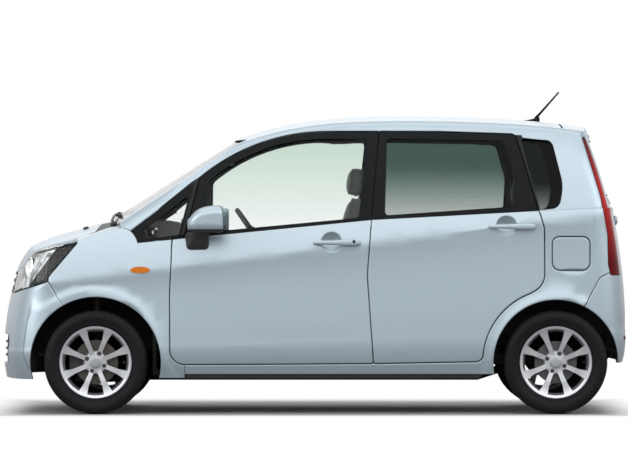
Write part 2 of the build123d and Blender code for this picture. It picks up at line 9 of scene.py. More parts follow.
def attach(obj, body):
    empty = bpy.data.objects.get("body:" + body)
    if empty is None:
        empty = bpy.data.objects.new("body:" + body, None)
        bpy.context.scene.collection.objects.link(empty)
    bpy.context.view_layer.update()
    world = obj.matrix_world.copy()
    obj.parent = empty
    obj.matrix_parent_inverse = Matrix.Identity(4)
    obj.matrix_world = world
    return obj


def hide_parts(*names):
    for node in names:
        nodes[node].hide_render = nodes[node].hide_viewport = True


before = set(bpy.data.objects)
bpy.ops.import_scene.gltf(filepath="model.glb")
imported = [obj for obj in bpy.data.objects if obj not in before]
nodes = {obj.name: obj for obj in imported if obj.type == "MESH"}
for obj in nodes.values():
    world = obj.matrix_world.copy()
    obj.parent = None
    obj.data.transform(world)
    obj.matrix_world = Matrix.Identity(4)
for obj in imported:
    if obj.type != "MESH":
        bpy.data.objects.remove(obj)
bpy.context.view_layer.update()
sides = {"left": -1, "right": 1}
print("frame loaded:", len(nodes), "nodes")

# camera, level and far off, as the side photo was taken
shot = {"distance": 25.0, "height": 0.9525, "lens": 261.1, "sensor": 36, "clip": 300}
camData = bpy.data.cameras.new("sideCamera")
camData.lens = shot["lens"]
camData.sensor_width = shot["sensor"]
camData.clip_end = shot["clip"]
sideCamera = bpy.data.objects.new("sideCamera", camData)
sideCamera.location = (0, -shot["distance"], shot["height"])
sideCamera.rotation_euler = (math.pi / 2, 0, 0)
bpy.context.scene.collection.objects.link(sideCamera)
bpy.context.scene.camera = sideCamera
bpy.context.scene.view_settings.view_transform = "Standard"


def feed(tree, socket, value):
    # a socket takes a number, a colour or another node's output
    if isinstance(value, tuple):
        socket.default_value = (*value, 1)
    elif isinstance(value, (int, float)):
        socket.default_value = value
    else:
        tree.links.new(value, socket)


def addNode(tree, kind, **values):
    node = tree.nodes.new(kind)
    for key, value in values.items():
        if key in node.inputs:
            feed(tree, node.inputs[key], value)
        else:
            setattr(node, key, value)
    return node


def mathNode(tree, operation, *values, clamp=False):
    node = addNode(tree, "ShaderNodeMath", operation=operation, use_clamp=clamp)
    for socket, value in zip(node.inputs, values):
        feed(tree, socket, value)
    return node.outputs[0]


def mapRange(tree, value, low, high, **values):
    node = addNode(tree, "ShaderNodeMapRange", Value=value, **values)
    feed(tree, node.inputs["From Min"], low)
    feed(tree, node.inputs["From Max"], high)
    return node.outputs[0]


def mixColor(tree, factor, a, b):
    node = addNode(tree, "ShaderNodeMix", data_type="RGBA")
    for index, value in ((0, factor), (6, a), (7, b)):
        feed(tree, node.inputs[index], value)
    return node.outputs[2]


def mixShaders(tree, factor, first, second):
    mix = tree.nodes.new("ShaderNodeMixShader")
    for socket, value in zip(mix.inputs, (factor, first.outputs[0], second.outputs[0])):
        tree.links.new(value, socket)
    return mix


def objectPlace(tree):
    return tree.nodes.new("ShaderNodeTexCoord").outputs["Object"]


def splitPlace(tree):
    return addNode(tree, "ShaderNodeSeparateXYZ", Vector=objectPlace(tree)).outputs


def newMaterial(name):
    mat = bpy.data.materials.new(name)
    mat.use_nodes = True
    mat.node_tree.nodes.clear()
    return mat, mat.node_tree


def finishMaterial(tree, shader):
    out = tree.nodes.new("ShaderNodeOutputMaterial")
    tree.links.new(shader.outputs[0], out.inputs[0])


def newGroup(name, inputs, *outputs):
    # inputs are numbers with a starting value, and only a normal goes out as a vector
    tree = bpy.data.node_groups.new(name, "ShaderNodeTree")
    for label, value in inputs.items():
        socket = tree.interface.new_socket(label, in_out="INPUT", socket_type="NodeSocketFloat")
        socket.default_value = value
    for label in outputs:
        kind = "NodeSocketVector" if label == "Normal" else "NodeSocketFloat"
        tree.interface.new_socket(label, in_out="OUTPUT", socket_type=kind)
    return tree, tree.nodes.new("NodeGroupInput").outputs, tree.nodes.new("NodeGroupOutput").inputs


def useGroup(tree, group, **values):
    node = addNode(tree, "ShaderNodeGroup", node_tree=group)
    for key, value in values.items():
        node.inputs[key].default_value = value
    return node.outputs


# studio: a world that is white to the camera, a lamp overhead, a bank on the near side and three fills
studio = {"low": (0.45, 0.46, 0.47), "level": (0.74, 0.77, 0.80), "zenith": (1.0, 1.0, 1.0),
          "stops": (0.45, 0.53, 0.72), "strength": 0.44,
          "floor": (0.34, 0.34, 0.34), "floorReach": 60, "floorDrop": 0.001}
world = bpy.data.worlds.new("studio")
world.use_nodes = True
bpy.context.scene.world = world
sky = world.node_tree
sky.nodes.clear()
toward = sky.nodes.new("ShaderNodeTexCoord").outputs["Generated"]
rise = addNode(sky, "ShaderNodeSeparateXYZ", Vector=toward).outputs["Z"]
ramp = sky.nodes.new("ShaderNodeValToRGB")
feed(sky, ramp.inputs[0], mathNode(sky, "MULTIPLY_ADD", rise, 0.5, 0.5))
stops = ramp.color_ramp.elements
stops.new(studio["stops"][1])
for index, tone in enumerate(("low", "level", "zenith")):
    stops[index].position = studio["stops"][index]
    stops[index].color = (*studio[tone], 1)
studioLight = addNode(sky, "ShaderNodeBackground", Strength=studio["strength"], Color=ramp.outputs[0])
white = addNode(sky, "ShaderNodeBackground", Strength=1.0, Color=(1, 1, 1))
path = sky.nodes.new("ShaderNodeLightPath").outputs
seen = mathNode(sky, "MAXIMUM", path["Is Camera Ray"], path["Is Transmission Ray"])
seen = mathNode(sky, "MAXIMUM", seen, path["Is Glossy Ray"])
skyOut = sky.nodes.new("ShaderNodeOutputWorld")
feed(sky, skyOut.inputs[0], mixShaders(sky, seen, studioLight, white).outputs[0])

lamps = [
    # name, place, aim, size, watts
    ("overhead", (0.0, -0.6, 6.0), (0, 0, 0.6), (8.0, 4.0), 140),
    ("sideBank", (0.0, -7.5, 5.3), (0, 0, 0.9), (17.0, 6.4), 630),
    ("frontFill", (-8.5, -4.5, 3.8), (-1.3, 0, 0.7), (5.0, 4.0), 320),
    ("rearFill", (8.5, -4.5, 4.6), (1.3, 0, 0.9), (5.0, 4.0), 230),
    ("farFill", (0.0, 8.5, 5.5), (0, 0, 0.9), (12.0, 4.0), 170),
]
for name, place, aim, size, watts in lamps:
    lamp = bpy.data.lights.new(name, "AREA")
    lamp.shape = "RECTANGLE"
    lamp.size, lamp.size_y = size
    lamp.energy = watts
    lampObject = bpy.data.objects.new(name, lamp)
    lampObject.location = place
    lampObject.rotation_euler = (Vector(aim) - Vector(place)).to_track_quat("-Z", "Y").to_euler()
    bpy.context.scene.collection.objects.link(lampObject)

# the floor keeps the shadow under the car and turns white round it
half = studio["floorReach"]
corners = [(-half, -half), (half, -half), (half, half), (-half, half)]
floorMesh = bpy.data.meshes.new("floor")
floorMesh.from_pydata([(x, y, -studio["floorDrop"]) for x, y in corners], [], [(0, 1, 2, 3)])
floor = bpy.data.objects.new("floor", floorMesh)
bpy.context.scene.collection.objects.link(floor)
floorMat, tree = newMaterial("paleFloor")
floorShader = addNode(tree, "ShaderNodeBsdfPrincipled", Roughness=0.8)
feed(tree, floorShader.inputs["Base Color"], studio["floor"])
farGlow = addNode(tree, "ShaderNodeEmission", Strength=1.0)
place = splitPlace(tree)
shadowEdges = [
    # direction, shadow up to, white from
    (mathNode(tree, "ABSOLUTE", place["X"]), 1.50, 1.86),
    (place["Y"], -0.74, -1.05),
    (place["Y"], 0.95, 1.75),
]
beyond = 0.0
for value, start, end in shadowEdges:
    edge = mapRange(tree, value, start, end, interpolation_type="SMOOTHSTEP")
    beyond = mathNode(tree, "MAXIMUM", beyond, edge)
path = tree.nodes.new("ShaderNodeLightPath").outputs
seen = mathNode(tree, "MAXIMUM", path["Is Camera Ray"], path["Is Transmission Ray"])
seen = mathNode(tree, "MULTIPLY", seen, beyond)
finishMaterial(tree, mixShaders(tree, seen, floorShader, farGlow))
floorMesh.materials.append(floorMat)
print("camera, lamps and floor set")

# shared effects: grain of moulded and cast surfaces
grainGroup, given, result = newGroup("mouldedGrain", {"Scale": 900.0, "Depth": 0.5}, "Height", "Tone")
place = objectPlace(grainGroup)
cells = addNode(grainGroup, "ShaderNodeTexVoronoi", Vector=place, Scale=given["Scale"])
clouds = addNode(grainGroup, "ShaderNodeTexNoise", Vector=place, Scale=9.0, Detail=3.0)
grainHeight = mathNode(grainGroup, "MULTIPLY", cells.outputs["Distance"], given["Depth"])
feed(grainGroup, result["Height"], grainHeight)
feed(grainGroup, result["Tone"], clouds.outputs["Fac"])

# metal flakes and the slight peel of sprayed paint
paintScales = {"Flake Scale": 2600.0, "Peel Scale": 260.0}
paintGroup, given, result = newGroup("paintFlake", paintScales, "Flake", "Peel")
place = objectPlace(paintGroup)
flakes = addNode(paintGroup, "ShaderNodeTexVoronoi", Vector=place, Scale=given["Flake Scale"])
flakeTone = addNode(paintGroup, "ShaderNodeSeparateColor", Color=flakes.outputs["Color"])
peel = addNode(paintGroup, "ShaderNodeTexNoise", Vector=place, Scale=given["Peel Scale"], Detail=1.0)
feed(paintGroup, result["Flake"], flakeTone.outputs[0])
feed(paintGroup, result["Peel"], peel.outputs["Fac"])

# road dust, thicker towards the ground
dustGroup, given, result = newGroup("roadDust", {"Top": 0.5, "Amount": 0.3}, "Mask")
specks = addNode(dustGroup, "ShaderNodeTexNoise", Vector=objectPlace(dustGroup), Scale=14.0, Detail=6.0)
fall = mathNode(dustGroup, "SUBTRACT", given["Top"], splitPlace(dustGroup)["Z"])
fall = mathNode(dustGroup, "MULTIPLY", fall, 2.0, clamp=True)
fall = mathNode(dustGroup, "MULTIPLY", fall, specks.outputs["Fac"])
feed(dustGroup, result["Mask"], mathNode(dustGroup, "MULTIPLY", fall, given["Amount"]))

# crossed threads of the seat cloth
weaveGroup, given, result = newGroup("clothWeave", {"Threads": 520.0}, "Height", "Tone")
place = objectPlace(weaveGroup)
threads = []
for axis in "ZY":
    wave = addNode(weaveGroup, "ShaderNodeTexWave", bands_direction=axis, Vector=place)
    feed(weaveGroup, wave.inputs["Scale"], given["Threads"])
    threads.append(wave.outputs["Fac"])
heather = addNode(weaveGroup, "ShaderNodeTexNoise", Vector=place, Scale=180.0, Detail=4.0)
feed(weaveGroup, result["Height"], mathNode(weaveGroup, "MULTIPLY", *threads))
feed(weaveGroup, result["Tone"], heather.outputs["Fac"])

# a mask that rises with height; it paints reflection into the glass tints and a highlight into the tail lens
paintedLightRamp, given, result = newGroup("paintedLightByHeight", {"Low": 1.0, "High": 1.45}, "Mask")
feed(paintedLightRamp, result["Mask"], mapRange(paintedLightRamp, splitPlace(paintedLightRamp)["Z"], given["Low"], given["High"]))

# pressed sheet: small radii along the edges, broad ones where an arch lip runs out into the skin
runOuts = [
    # x, z, full within, none beyond
    (1.385, 0.690, 0.060, 0.105), (-1.483, 0.600, 0.060, 0.110), (-0.930, 0.620, 0.060, 0.110),
]
pressGroup, given, result = newGroup("pressedEdges", {"Edge": 0.010, "Broad": 0.040}, "Normal")
place = splitPlace(pressGroup)
broad = 0.0
for x, z, within, beyond in runOuts:
    away = mathNode(pressGroup, "SUBTRACT", place["X"], x)
    rise = mathNode(pressGroup, "SUBTRACT", place["Z"], z)
    away = mathNode(pressGroup, "MULTIPLY_ADD", away, away, mathNode(pressGroup, "MULTIPLY", rise, rise))
    spot = mapRange(pressGroup, mathNode(pressGroup, "SQRT", away), beyond, within)
    broad = mathNode(pressGroup, "MAXIMUM", broad, spot)
spread = mathNode(pressGroup, "SUBTRACT", given["Broad"], given["Edge"])
edgeRadius = mathNode(pressGroup, "MULTIPLY_ADD", broad, spread, given["Edge"])
pressed = addNode(pressGroup, "ShaderNodeBevel", samples=8, Radius=edgeRadius)
feed(pressGroup, result["Normal"], pressed.outputs[0])

# painted shade in the gaps between panels: ambient occlusion darkens the paint's colour there
gapShadeGroup, given, result = newGroup("panelGapShade", {"Reach": 0.014, "Open": 0.62, "Shut": 0.38}, "Mask")
gapShade = addNode(gapShadeGroup, "ShaderNodeAmbientOcclusion", samples=8, Distance=given["Reach"])
feed(gapShadeGroup, result["Mask"], mapRange(gapShadeGroup, gapShade.outputs["AO"], given["Open"], given["Shut"]))

# black tape on the pillars: each patch is where a x + b z + c is above nought for all its rows of a, b, c
tapePatches = {
    "frontPillarFoot": [(0.822, -1.0, 1.780), (0.640, -1.0, 1.660), (-0.1, 1.0, -1.000), (1.0, 0.0, 0.83),
                        (-1.0, 0.0, -0.45)],
    "middlePillar": [(1.0, 0.0, -0.200), (-1.0, 0.0, 0.420), (-0.0985, 1.0, -1.006), (0.0, -1.0, 1.500)],
    "quarterPillar": [(1.0, 0.3162, -1.528), (-1.0, -0.3162, 1.585), (-0.0542, 1.0, -1.022),
                      (0.0, -1.0, 1.492)],
    "overQuarterGlass": [(1.0, 0.0, -1.070), (-1.0, 0.0, 1.252), (-0.1265, -1.0, 1.620), (0.0, 1.0, -1.400)],
}
tapeGroup, given, result = newGroup("pillarTape", {"Edge": 900.0}, "Mask")
place = splitPlace(tapeGroup)
taped = 0.0
for rows in tapePatches.values():
    patch = 1.0
    for a, b, c in rows:
        within = mathNode(tapeGroup, "MULTIPLY_ADD", place["Z"], b, c)
        within = mathNode(tapeGroup, "MULTIPLY_ADD", place["X"], a, within)
        within = mathNode(tapeGroup, "MULTIPLY", within, given["Edge"], clamp=True)
        patch = mathNode(tapeGroup, "MULTIPLY", patch, within)
    taped = mathNode(tapeGroup, "MAXIMUM", taped, patch)
feed(tapeGroup, result["Mask"], taped)


def bumpFrom(tree, height, strength, distance):
    return addNode(tree, "ShaderNodeBump", Strength=strength, Distance=distance, Height=height).outputs[0]


def dress(tree, shader, color, bump):
    feed(tree, shader.inputs["Base Color"], color)
    feed(tree, shader.inputs["Normal"], bump)
    finishMaterial(tree, shader)


# the gap colour is the near-black of the painted shade in the gaps between panels
paintFinish = {"color": (0.285, 0.345, 0.388), "flake": (0.330, 0.393, 0.437), "dust": (0.22, 0.23, 0.235),
               "gap": (0.012, 0.013, 0.014), "tape": (0.006, 0.007, 0.008), "metallic": 0.62, "coat": 0.22}


def makePaint(name, taped=False):
    mat, tree = newMaterial(name)
    shader = addNode(tree, "ShaderNodeBsdfPrincipled", Roughness=0.40, Metallic=paintFinish["metallic"])
    shader.inputs["Coat Weight"].default_value = paintFinish["coat"]
    shader.inputs["Coat Roughness"].default_value = 0.2
    speck = useGroup(tree, paintGroup)
    tone = mixColor(tree, speck["Flake"], paintFinish["color"], paintFinish["flake"])
    tone = mixColor(tree, useGroup(tree, dustGroup, Top=0.36, Amount=0.22)["Mask"], tone, paintFinish["dust"])
    # painted shade: the colour goes near-black where the panel gaps are closed in
    tone = mixColor(tree, useGroup(tree, gapShadeGroup)["Mask"], tone, paintFinish["gap"])
    if taped:
        tape = useGroup(tree, tapeGroup)["Mask"]
        tone = mixColor(tree, tape, tone, paintFinish["tape"])
        bare = mathNode(tree, "SUBTRACT", 1.0, tape)
        feed(tree, shader.inputs["Metallic"], mathNode(tree, "MULTIPLY", bare, paintFinish["metallic"]))
        feed(tree, shader.inputs["Coat Weight"], mathNode(tree, "MULTIPLY", bare, paintFinish["coat"]))
        shader.inputs["Specular IOR Level"].default_value = 0.15
    bump = bumpFrom(tree, speck["Peel"], 0.02, 0.0006)
    feed(tree, bump.node.inputs["Normal"], useGroup(tree, pressGroup)["Normal"])
    dress(tree, shader, tone, bump)
    return mat


def makePlastic(name, color, light, roughness, scale, depth=0.35, dustTop=0.0, gloss=0.3):
    mat, tree = newMaterial(name)
    shader = addNode(tree, "ShaderNodeBsdfPrincipled", Roughness=roughness)
    shader.inputs["Specular IOR Level"].default_value = gloss
    grain = useGroup(tree, grainGroup, Scale=scale, Depth=1.0)
    tone = mixColor(tree, grain["Tone"], color, light)
    if dustTop:
        dust = useGroup(tree, dustGroup, Top=dustTop, Amount=0.5)
        tone = mixColor(tree, dust["Mask"], tone, (0.2, 0.19, 0.18))
    dress(tree, shader, tone, bumpFrom(tree, grain["Height"], depth, 0.0004))
    return mat


def makeMetal(name, color, light, roughness, metallic, scale, depth):
    mat, tree = newMaterial(name)
    shader = addNode(tree, "ShaderNodeBsdfPrincipled", Metallic=metallic)
    grain = useGroup(tree, grainGroup, Scale=scale, Depth=1.0)
    feed(tree, shader.inputs["Roughness"], mathNode(tree, "MULTIPLY_ADD", grain["Tone"], 0.12, roughness))
    tone = mixColor(tree, grain["Tone"], color, light)
    dress(tree, shader, tone, bumpFrom(tree, grain["Height"], depth, 0.0003))
    return mat


def makeGlass(name, floorReflectionTint, highTint, low, high):
    mat, tree = newMaterial(name)
    shader = addNode(tree, "ShaderNodeBsdfPrincipled", Roughness=0.0, IOR=1.14)
    shader.inputs["Transmission Weight"].default_value = 1.0
    # painted reflection: the tint turns pale low on the glass, where the pale floor would be reflected
    tint = mixColor(tree, useGroup(tree, paintedLightRamp, Low=low, High=high)["Mask"], floorReflectionTint, highTint)
    feed(tree, shader.inputs["Base Color"], tint)
    clear = addNode(tree, "ShaderNodeBsdfTransparent", Color=tint)
    shadow = tree.nodes.new("ShaderNodeLightPath").outputs["Is Shadow Ray"]
    finishMaterial(tree, mixShaders(tree, shadow, shader, clear))
    return mat


def makeLens(name, color, deep):
    mat, tree = newMaterial(name)
    shader = addNode(tree, "ShaderNodeBsdfPrincipled", Roughness=0.08, IOR=1.5)
    shader.inputs["Transmission Weight"].default_value = 0.35
    shader.inputs["Specular IOR Level"].default_value = 0.12
    shader.inputs["Coat Weight"].default_value = 0.06
    grain = useGroup(tree, grainGroup, Scale=160.0, Depth=1.0)
    tone = mixColor(tree, grain["Tone"], color, deep)
    dress(tree, shader, tone, bumpFrom(tree, grain["Height"], 0.15, 0.0008))
    return mat


def makeTailLens(name, highlightRed, deep):
    # painted highlight: the lens is painted bright red where its reflectors stand and deep red at its ends
    mat, tree = newMaterial(name)
    shader = addNode(tree, "ShaderNodeBsdfPrincipled", Roughness=0.14)
    shader.inputs["Specular IOR Level"].default_value = 0.07
    shader.inputs["Coat Weight"].default_value = 0.02
    low = useGroup(tree, paintedLightRamp, Low=0.80, High=1.12)["Mask"]
    top = useGroup(tree, paintedLightRamp, Low=1.22, High=1.46)["Mask"]
    paintedHighlight = mathNode(tree, "MULTIPLY", low, mathNode(tree, "SUBTRACT", 1.0, top))
    ribs = addNode(tree, "ShaderNodeTexWave", bands_direction="Z", Vector=objectPlace(tree), Scale=38.0)
    paintedHighlight = mathNode(tree, "MULTIPLY", paintedHighlight, mathNode(tree, "MULTIPLY_ADD", ribs.outputs["Fac"], 0.18, 0.82))
    dress(tree, shader, mixColor(tree, paintedHighlight, deep, highlightRed), bumpFrom(tree, ribs.outputs["Fac"], 0.08, 0.001))
    return mat


def makePaintedStreaks(name, dark, light):
    # fanned flutes of a moulded and plated reflector: the flutes are bumped in, and their light and dark
    # streaks are painted reflection
    mat, tree = newMaterial(name)
    shader = addNode(tree, "ShaderNodeBsdfPrincipled", Metallic=0.75, Roughness=0.22)
    turn = addNode(tree, "ShaderNodeMapping", Vector=objectPlace(tree))
    turn.inputs["Rotation"].default_value = (0.0, 0.55, 0.0)
    turn.inputs["Scale"].default_value = (1.0, 1.0, 0.16)
    noise = addNode(tree, "ShaderNodeTexNoise", Scale=42.0, Detail=3.0, Distortion=0.4)
    feed(tree, noise.inputs["Vector"], turn.outputs[0])
    flute = noise.outputs["Fac"]
    tone = mixColor(tree, mapRange(tree, flute, 0.34, 0.66), dark, light)
    dress(tree, shader, tone, bumpFrom(tree, flute, 0.5, 0.004))
    return mat


def makeCloth(name, color, light, threads):
    mat, tree = newMaterial(name)
    shader = addNode(tree, "ShaderNodeBsdfPrincipled", Roughness=0.92)
    shader.inputs["Sheen Weight"].default_value = 0.3
    weave = useGroup(tree, weaveGroup, Threads=threads)
    tone = mixColor(tree, weave["Tone"], color, light)
    dress(tree, shader, tone, bumpFrom(tree, weave["Height"], 0.08, 0.0004))
    return mat


plastics = {
    # finish: name, colour, light, roughness, grain scale, grain depth, dust up to, gloss
    "sash": ("satinBlackSash", (0.006, 0.007, 0.008), (0.010, 0.011, 0.012), 0.42, 1400, 0.06, 0.0, 0.05),
    "trim": ("grainedTrim", (0.016, 0.016, 0.017), (0.030, 0.030, 0.031), 0.55, 900, 0.3, 0.3),
    # black rubber, which is also used as painted shade on the inward faces of body panels
    "seal": ("sealRubberAndShade", (0.006, 0.006, 0.006), (0.012, 0.012, 0.012), 0.75, 700, 0.2),
    "tyre": ("tyreRubber", (0.0050, 0.0052, 0.0062), (0.0095, 0.0098, 0.0112), 0.58, 420, 0.25, 0.06, 0.10),
    "chassis": ("underbodyCoat", (0.008, 0.008, 0.009), (0.015, 0.015, 0.015), 0.75, 240, 0.5, 0.2, 0.12),
    "dash": ("dashGrain", (0.045, 0.045, 0.047), (0.07, 0.07, 0.072), 0.6, 800, 0.4),
    "bezel": ("lampBezel", (0.008, 0.0085, 0.009), (0.014, 0.015, 0.016), 0.30, 1200, 0.05, 0.0, 0.10),
    "seatTrim": ("seatPiping", (0.022, 0.022, 0.022), (0.034, 0.034, 0.033), 0.7, 700, 0.2),
    "liner": ("cabinLining", (0.10, 0.10, 0.10), (0.14, 0.14, 0.138), 0.7, 600, 0.3),
}
metals = {
    # finish: name, colour, light, roughness, metallic, grain scale, grain depth
    "alloy": ("silverAlloy", (0.40, 0.41, 0.43), (0.47, 0.48, 0.50), 0.26, 0.85, 1800, 0.05),
    "capAlloy": ("satinCap", (0.27, 0.28, 0.295), (0.31, 0.32, 0.335), 0.44, 0.85, 1800, 0.05),
    # alloy painted near-black as shade, for the rim barrels and bolt pockets
    "shadedAlloy": ("wheelInside", (0.045, 0.046, 0.048), (0.075, 0.076, 0.078), 0.45, 0.6, 800, 0.1),
    "disc": ("brakeSteel", (0.055, 0.050, 0.046), (0.085, 0.078, 0.072), 0.35, 0.9, 900, 0.2),
    "iron": ("castIron", (0.020, 0.020, 0.021), (0.034, 0.033, 0.032), 0.55, 0.5, 500, 0.4),
    "chrome": ("brightChrome", (0.82, 0.83, 0.84), (0.88, 0.89, 0.90), 0.05, 1.0, 900, 0.02),
    "mirror": ("mirrorGlass", (0.86, 0.88, 0.89), (0.90, 0.92, 0.93), 0.01, 1.0, 900, 0.0),
}
glasses = {
    # finish: name, tint below with painted reflection of the pale floor, tint above, from height, to height
    "clearGlass": ("lightGreenGlass", (0.92, 0.945, 0.93), (0.76, 0.84, 0.79), 1.02, 1.42),
    "darkGlass": ("privacyGlass", (0.62, 0.655, 0.635), (0.22, 0.30, 0.27), 1.08, 1.33),
    "quarterGlass": ("deepPrivacyGlass", (0.44, 0.46, 0.45), (0.06, 0.08, 0.075), 1.09, 1.24),
    "headLens": ("headlampLens", (0.97, 0.98, 0.98), (0.97, 0.98, 0.98), 0.6, 0.95),
}
finish = {
    "paint": makePaint("silverBluePaint"),
    "tapedPaint": makePaint("tapedPillarPaint", True),
    "redLens": makeTailLens("redLens", (0.38, 0.014, 0.013), (0.09, 0.002, 0.005)),
    "amberLens": makeLens("amberLens", (0.85, 0.27, 0.02), (0.70, 0.18, 0.01)),
    "streakChrome": makePaintedStreaks("streakChrome", (0.09, 0.092, 0.095), (0.70, 0.71, 0.72)),
    "cloth": makeCloth("seatCloth", (0.036, 0.036, 0.035), (0.046, 0.0455, 0.044), 520.0),
}
for make, rows in ((makePlastic, plastics), (makeMetal, metals), (makeGlass, glasses)):
    for key, row in rows.items():
        finish[key] = make(*row)
print("materials made:", len(finish))


def keepCreases(obj, angle):
    split = obj.modifiers.new("keepCreases", "EDGE_SPLIT")
    split.split_angle = math.radians(angle)


def thicken(obj, amount):
    thick = obj.modifiers.new("thickness", "SOLIDIFY")
    thick.thickness = amount


def smoothNode(obj):
    # joins the tessellated faces for shading and keeps true creases
    for poly in obj.data.polygons:
        poly.use_smooth = True
    if obj.data.has_custom_normals:
        obj.data.normals_split_custom_set([(0, 0, 0)] * len(obj.data.loops))
    weld = obj.modifiers.new("joinSeams", "WELD")
    weld.merge_threshold = 0.00002
    keepCreases(obj, 32)


def setFinish(node, key):
    mesh = nodes[node].data
    mesh.materials.clear()
    mesh.materials.append(finish[key])
    for poly in mesh.polygons:
        poly.material_index = 0


def addFinish(node, key, test):
    mesh = nodes[node].data
    mesh.materials.append(finish[key])
    index = len(mesh.materials) - 1
    for poly in mesh.polygons:
        if test(poly.center, poly.normal):
            poly.material_index = index


nodeFinish = {
    "paint": ["front_door_left", "front_door_right", "rear_door_left", "rear_door_right", "tailgate",
              "bonnet", "fuel_lid", "roof_panel", "fender_left", "fender_right", "front_bumper",
              "rear_bumper", "mirror_left", "mirror_right"],
    "tapedPaint": ["side_frame_left", "side_frame_right"],
    "clearGlass": ["front_glass_left", "front_glass_right", "windscreen"],
    "darkGlass": ["rear_glass_left", "rear_glass_right", "tailgate_glass"],
    "quarterGlass": ["fixed_side_glass"],
    "tyre": ["front_tyre_left", "front_tyre_right", "rear_tyre_left", "rear_tyre_right"],
    "alloy": ["front_rim_left", "front_rim_right", "rear_rim_left", "rear_rim_right"],
    "disc": ["brake_disc_left", "brake_disc_right"],
    "iron": ["knuckle_left", "knuckle_right", "engine_block"],
    "trim": ["cowl_panel", "grille", "aerial", "steering_wheel", "sill_trim"],
    "sash": ["quarter_frames"],
    "headLens": ["headlamps"],
    "redLens": ["tail_lamps"],
    "amberLens": ["side_repeaters"],
    "chassis": ["front_subframe", "rear_axle", "floor_pan", "exhaust"],
    "cloth": ["front_seats", "rear_seat"],
    "dash": ["dashboard"],
}
for key, names in nodeFinish.items():
    for name in names:
        setFinish(name, key)
for obj in nodes.values():
    smoothNode(obj)

beltLine = [
    # x, height of the belt under the glass
    (-0.94, 0.912), (0.309, 1.035), (1.195, 1.083), (1.76, 1.112),
]


def beltHeight(x):
    for (x0, z0), (x1, z1) in zip(beltLine, beltLine[1:]):
        if x <= x1:
            return z0 + (z1 - z0) * (x - x0) / (x1 - x0)
    return beltLine[-1][1]


# wheels: hubs, bolt circle, and the distances from the middle plane where a rim's face and its cap begin
wheel = {"places": {"front": -1.165, "rear": 1.290}, "halfTrack": 0.650, "hubHeight": 0.276, "nuts": 4,
         "nutCircle": 0.050, "firstNut": 67.5, "pocket": 0.0117, "cap": 0.0305, "facePlane": 0.684,
         "capPlane": 0.690}


def nutPlaces(x):
    places = []
    for n in range(wheel["nuts"]):
        turn = math.radians(wheel["firstNut"] + 360 / wheel["nuts"] * n)
        up = wheel["hubHeight"] + wheel["nutCircle"] * math.sin(turn)
        places.append((x + wheel["nutCircle"] * math.cos(turn), up))
    return places


def dressRim(node, x, sign):
    # painted shade: near-black alloy in the barrel and the bolt pockets; a satin cap
    def inPaintedShade(c, n):
        inPocket = min(math.hypot(c.x - px, c.z - pz) for px, pz in nutPlaces(x)) < wheel["pocket"]
        return inPocket or c.y * sign < wheel["facePlane"]

    def isCap(c, n):
        return math.hypot(c.x - x, c.z - wheel["hubHeight"]) < wheel["cap"] and c.y * sign > wheel["capPlane"]

    addFinish(node, "shadedAlloy", inPaintedShade)
    addFinish(node, "capAlloy", isCap)


# black sashes over the belt, dark lining on everything that faces the cabin, and painted shade: black on the
# inward faces of the side frames, fenders and bumpers, so gaps and arches read dark
mirrorFoot = 0.9862
grilleEdge = -1.604
for side, sign in sides.items():
    for node in (f"front_door_{side}", f"rear_door_{side}"):
        addFinish(node, "sash", lambda c, n: c.z > beltHeight(c.x) - 0.001)
        addFinish(node, "liner", lambda c, n: n.y * sign < -0.3 and c.z < beltHeight(c.x))
    # painted shade: side frames and fenders are black where they face inward
    addFinish(f"side_frame_{side}", "seal", lambda c, n: n.y * sign < 0.05)
    addFinish(f"fender_{side}", "seal", lambda c, n: n.y * sign < 0.05 and n.z < 0.3)
    addFinish(f"mirror_{side}", "trim", lambda c, n: c.z < mirrorFoot or n.x > 0.9)
    for end, x in wheel["places"].items():
        dressRim(f"{end}_rim_{side}", x, sign)
addFinish("fixed_side_glass", "clearGlass", lambda c, n: c.x < 0)
addFinish("tailgate", "liner", lambda c, n: n.x < -0.2)
# painted shade: the bumpers are black where they face inward, inside the arches
for bumper, ahead in (("front_bumper", -1), ("rear_bumper", 1)):
    addFinish(bumper, "seal",
              lambda c, n: n.x * ahead * 0.6 + n.y * math.copysign(0.8, c.y) < 0.02 and n.z < 0.5)
addFinish("roof_panel", "liner", lambda c, n: n.z < -0.3)
addFinish("bonnet", "trim", lambda c, n: n.x < -0.95 and c.x < grilleEdge)
print("finishes set on the nodes")


def newPiece(name, verts, faces, body, slot, key, smooth=True):
    mesh = bpy.data.meshes.new(name)
    mesh.from_pydata([tuple(v) for v in verts], [], faces)
    mesh.validate()
    obj = bpy.data.objects.new(name, mesh)
    bpy.context.scene.collection.objects.link(obj)
    mesh.materials.append(finish[key])
    for poly in mesh.polygons:
        poly.use_smooth = smooth
    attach(obj, body)
    return obj


def evenly(start, end, count):
    return [start + (end - start) * k / (count - 1) for k in range(count)]


def joined(parts):
    verts, faces = [], []
    for partVerts, partFaces in parts:
        base = len(verts)
        verts += partVerts
        faces += [tuple(i + base for i in face) for face in partFaces]
    return verts, faces


def aimed(part, origin, axis):
    # local z is turned to the axis, then the part is set at its origin
    move = Matrix.Translation(origin) @ Vector(axis).to_track_quat("Z", "Y").to_matrix().to_4x4()
    return [move @ Vector(v) for v in part[0]], part[1]


def moved(part, place, turn=(0, 0, 0)):
    move = Matrix.Translation(place)
    for angle, axis in zip(turn, "XYZ"):
        if angle:
            move = move @ Matrix.Rotation(math.radians(angle), 4, axis)
    return [move @ Vector(v) for v in part[0]], part[1]


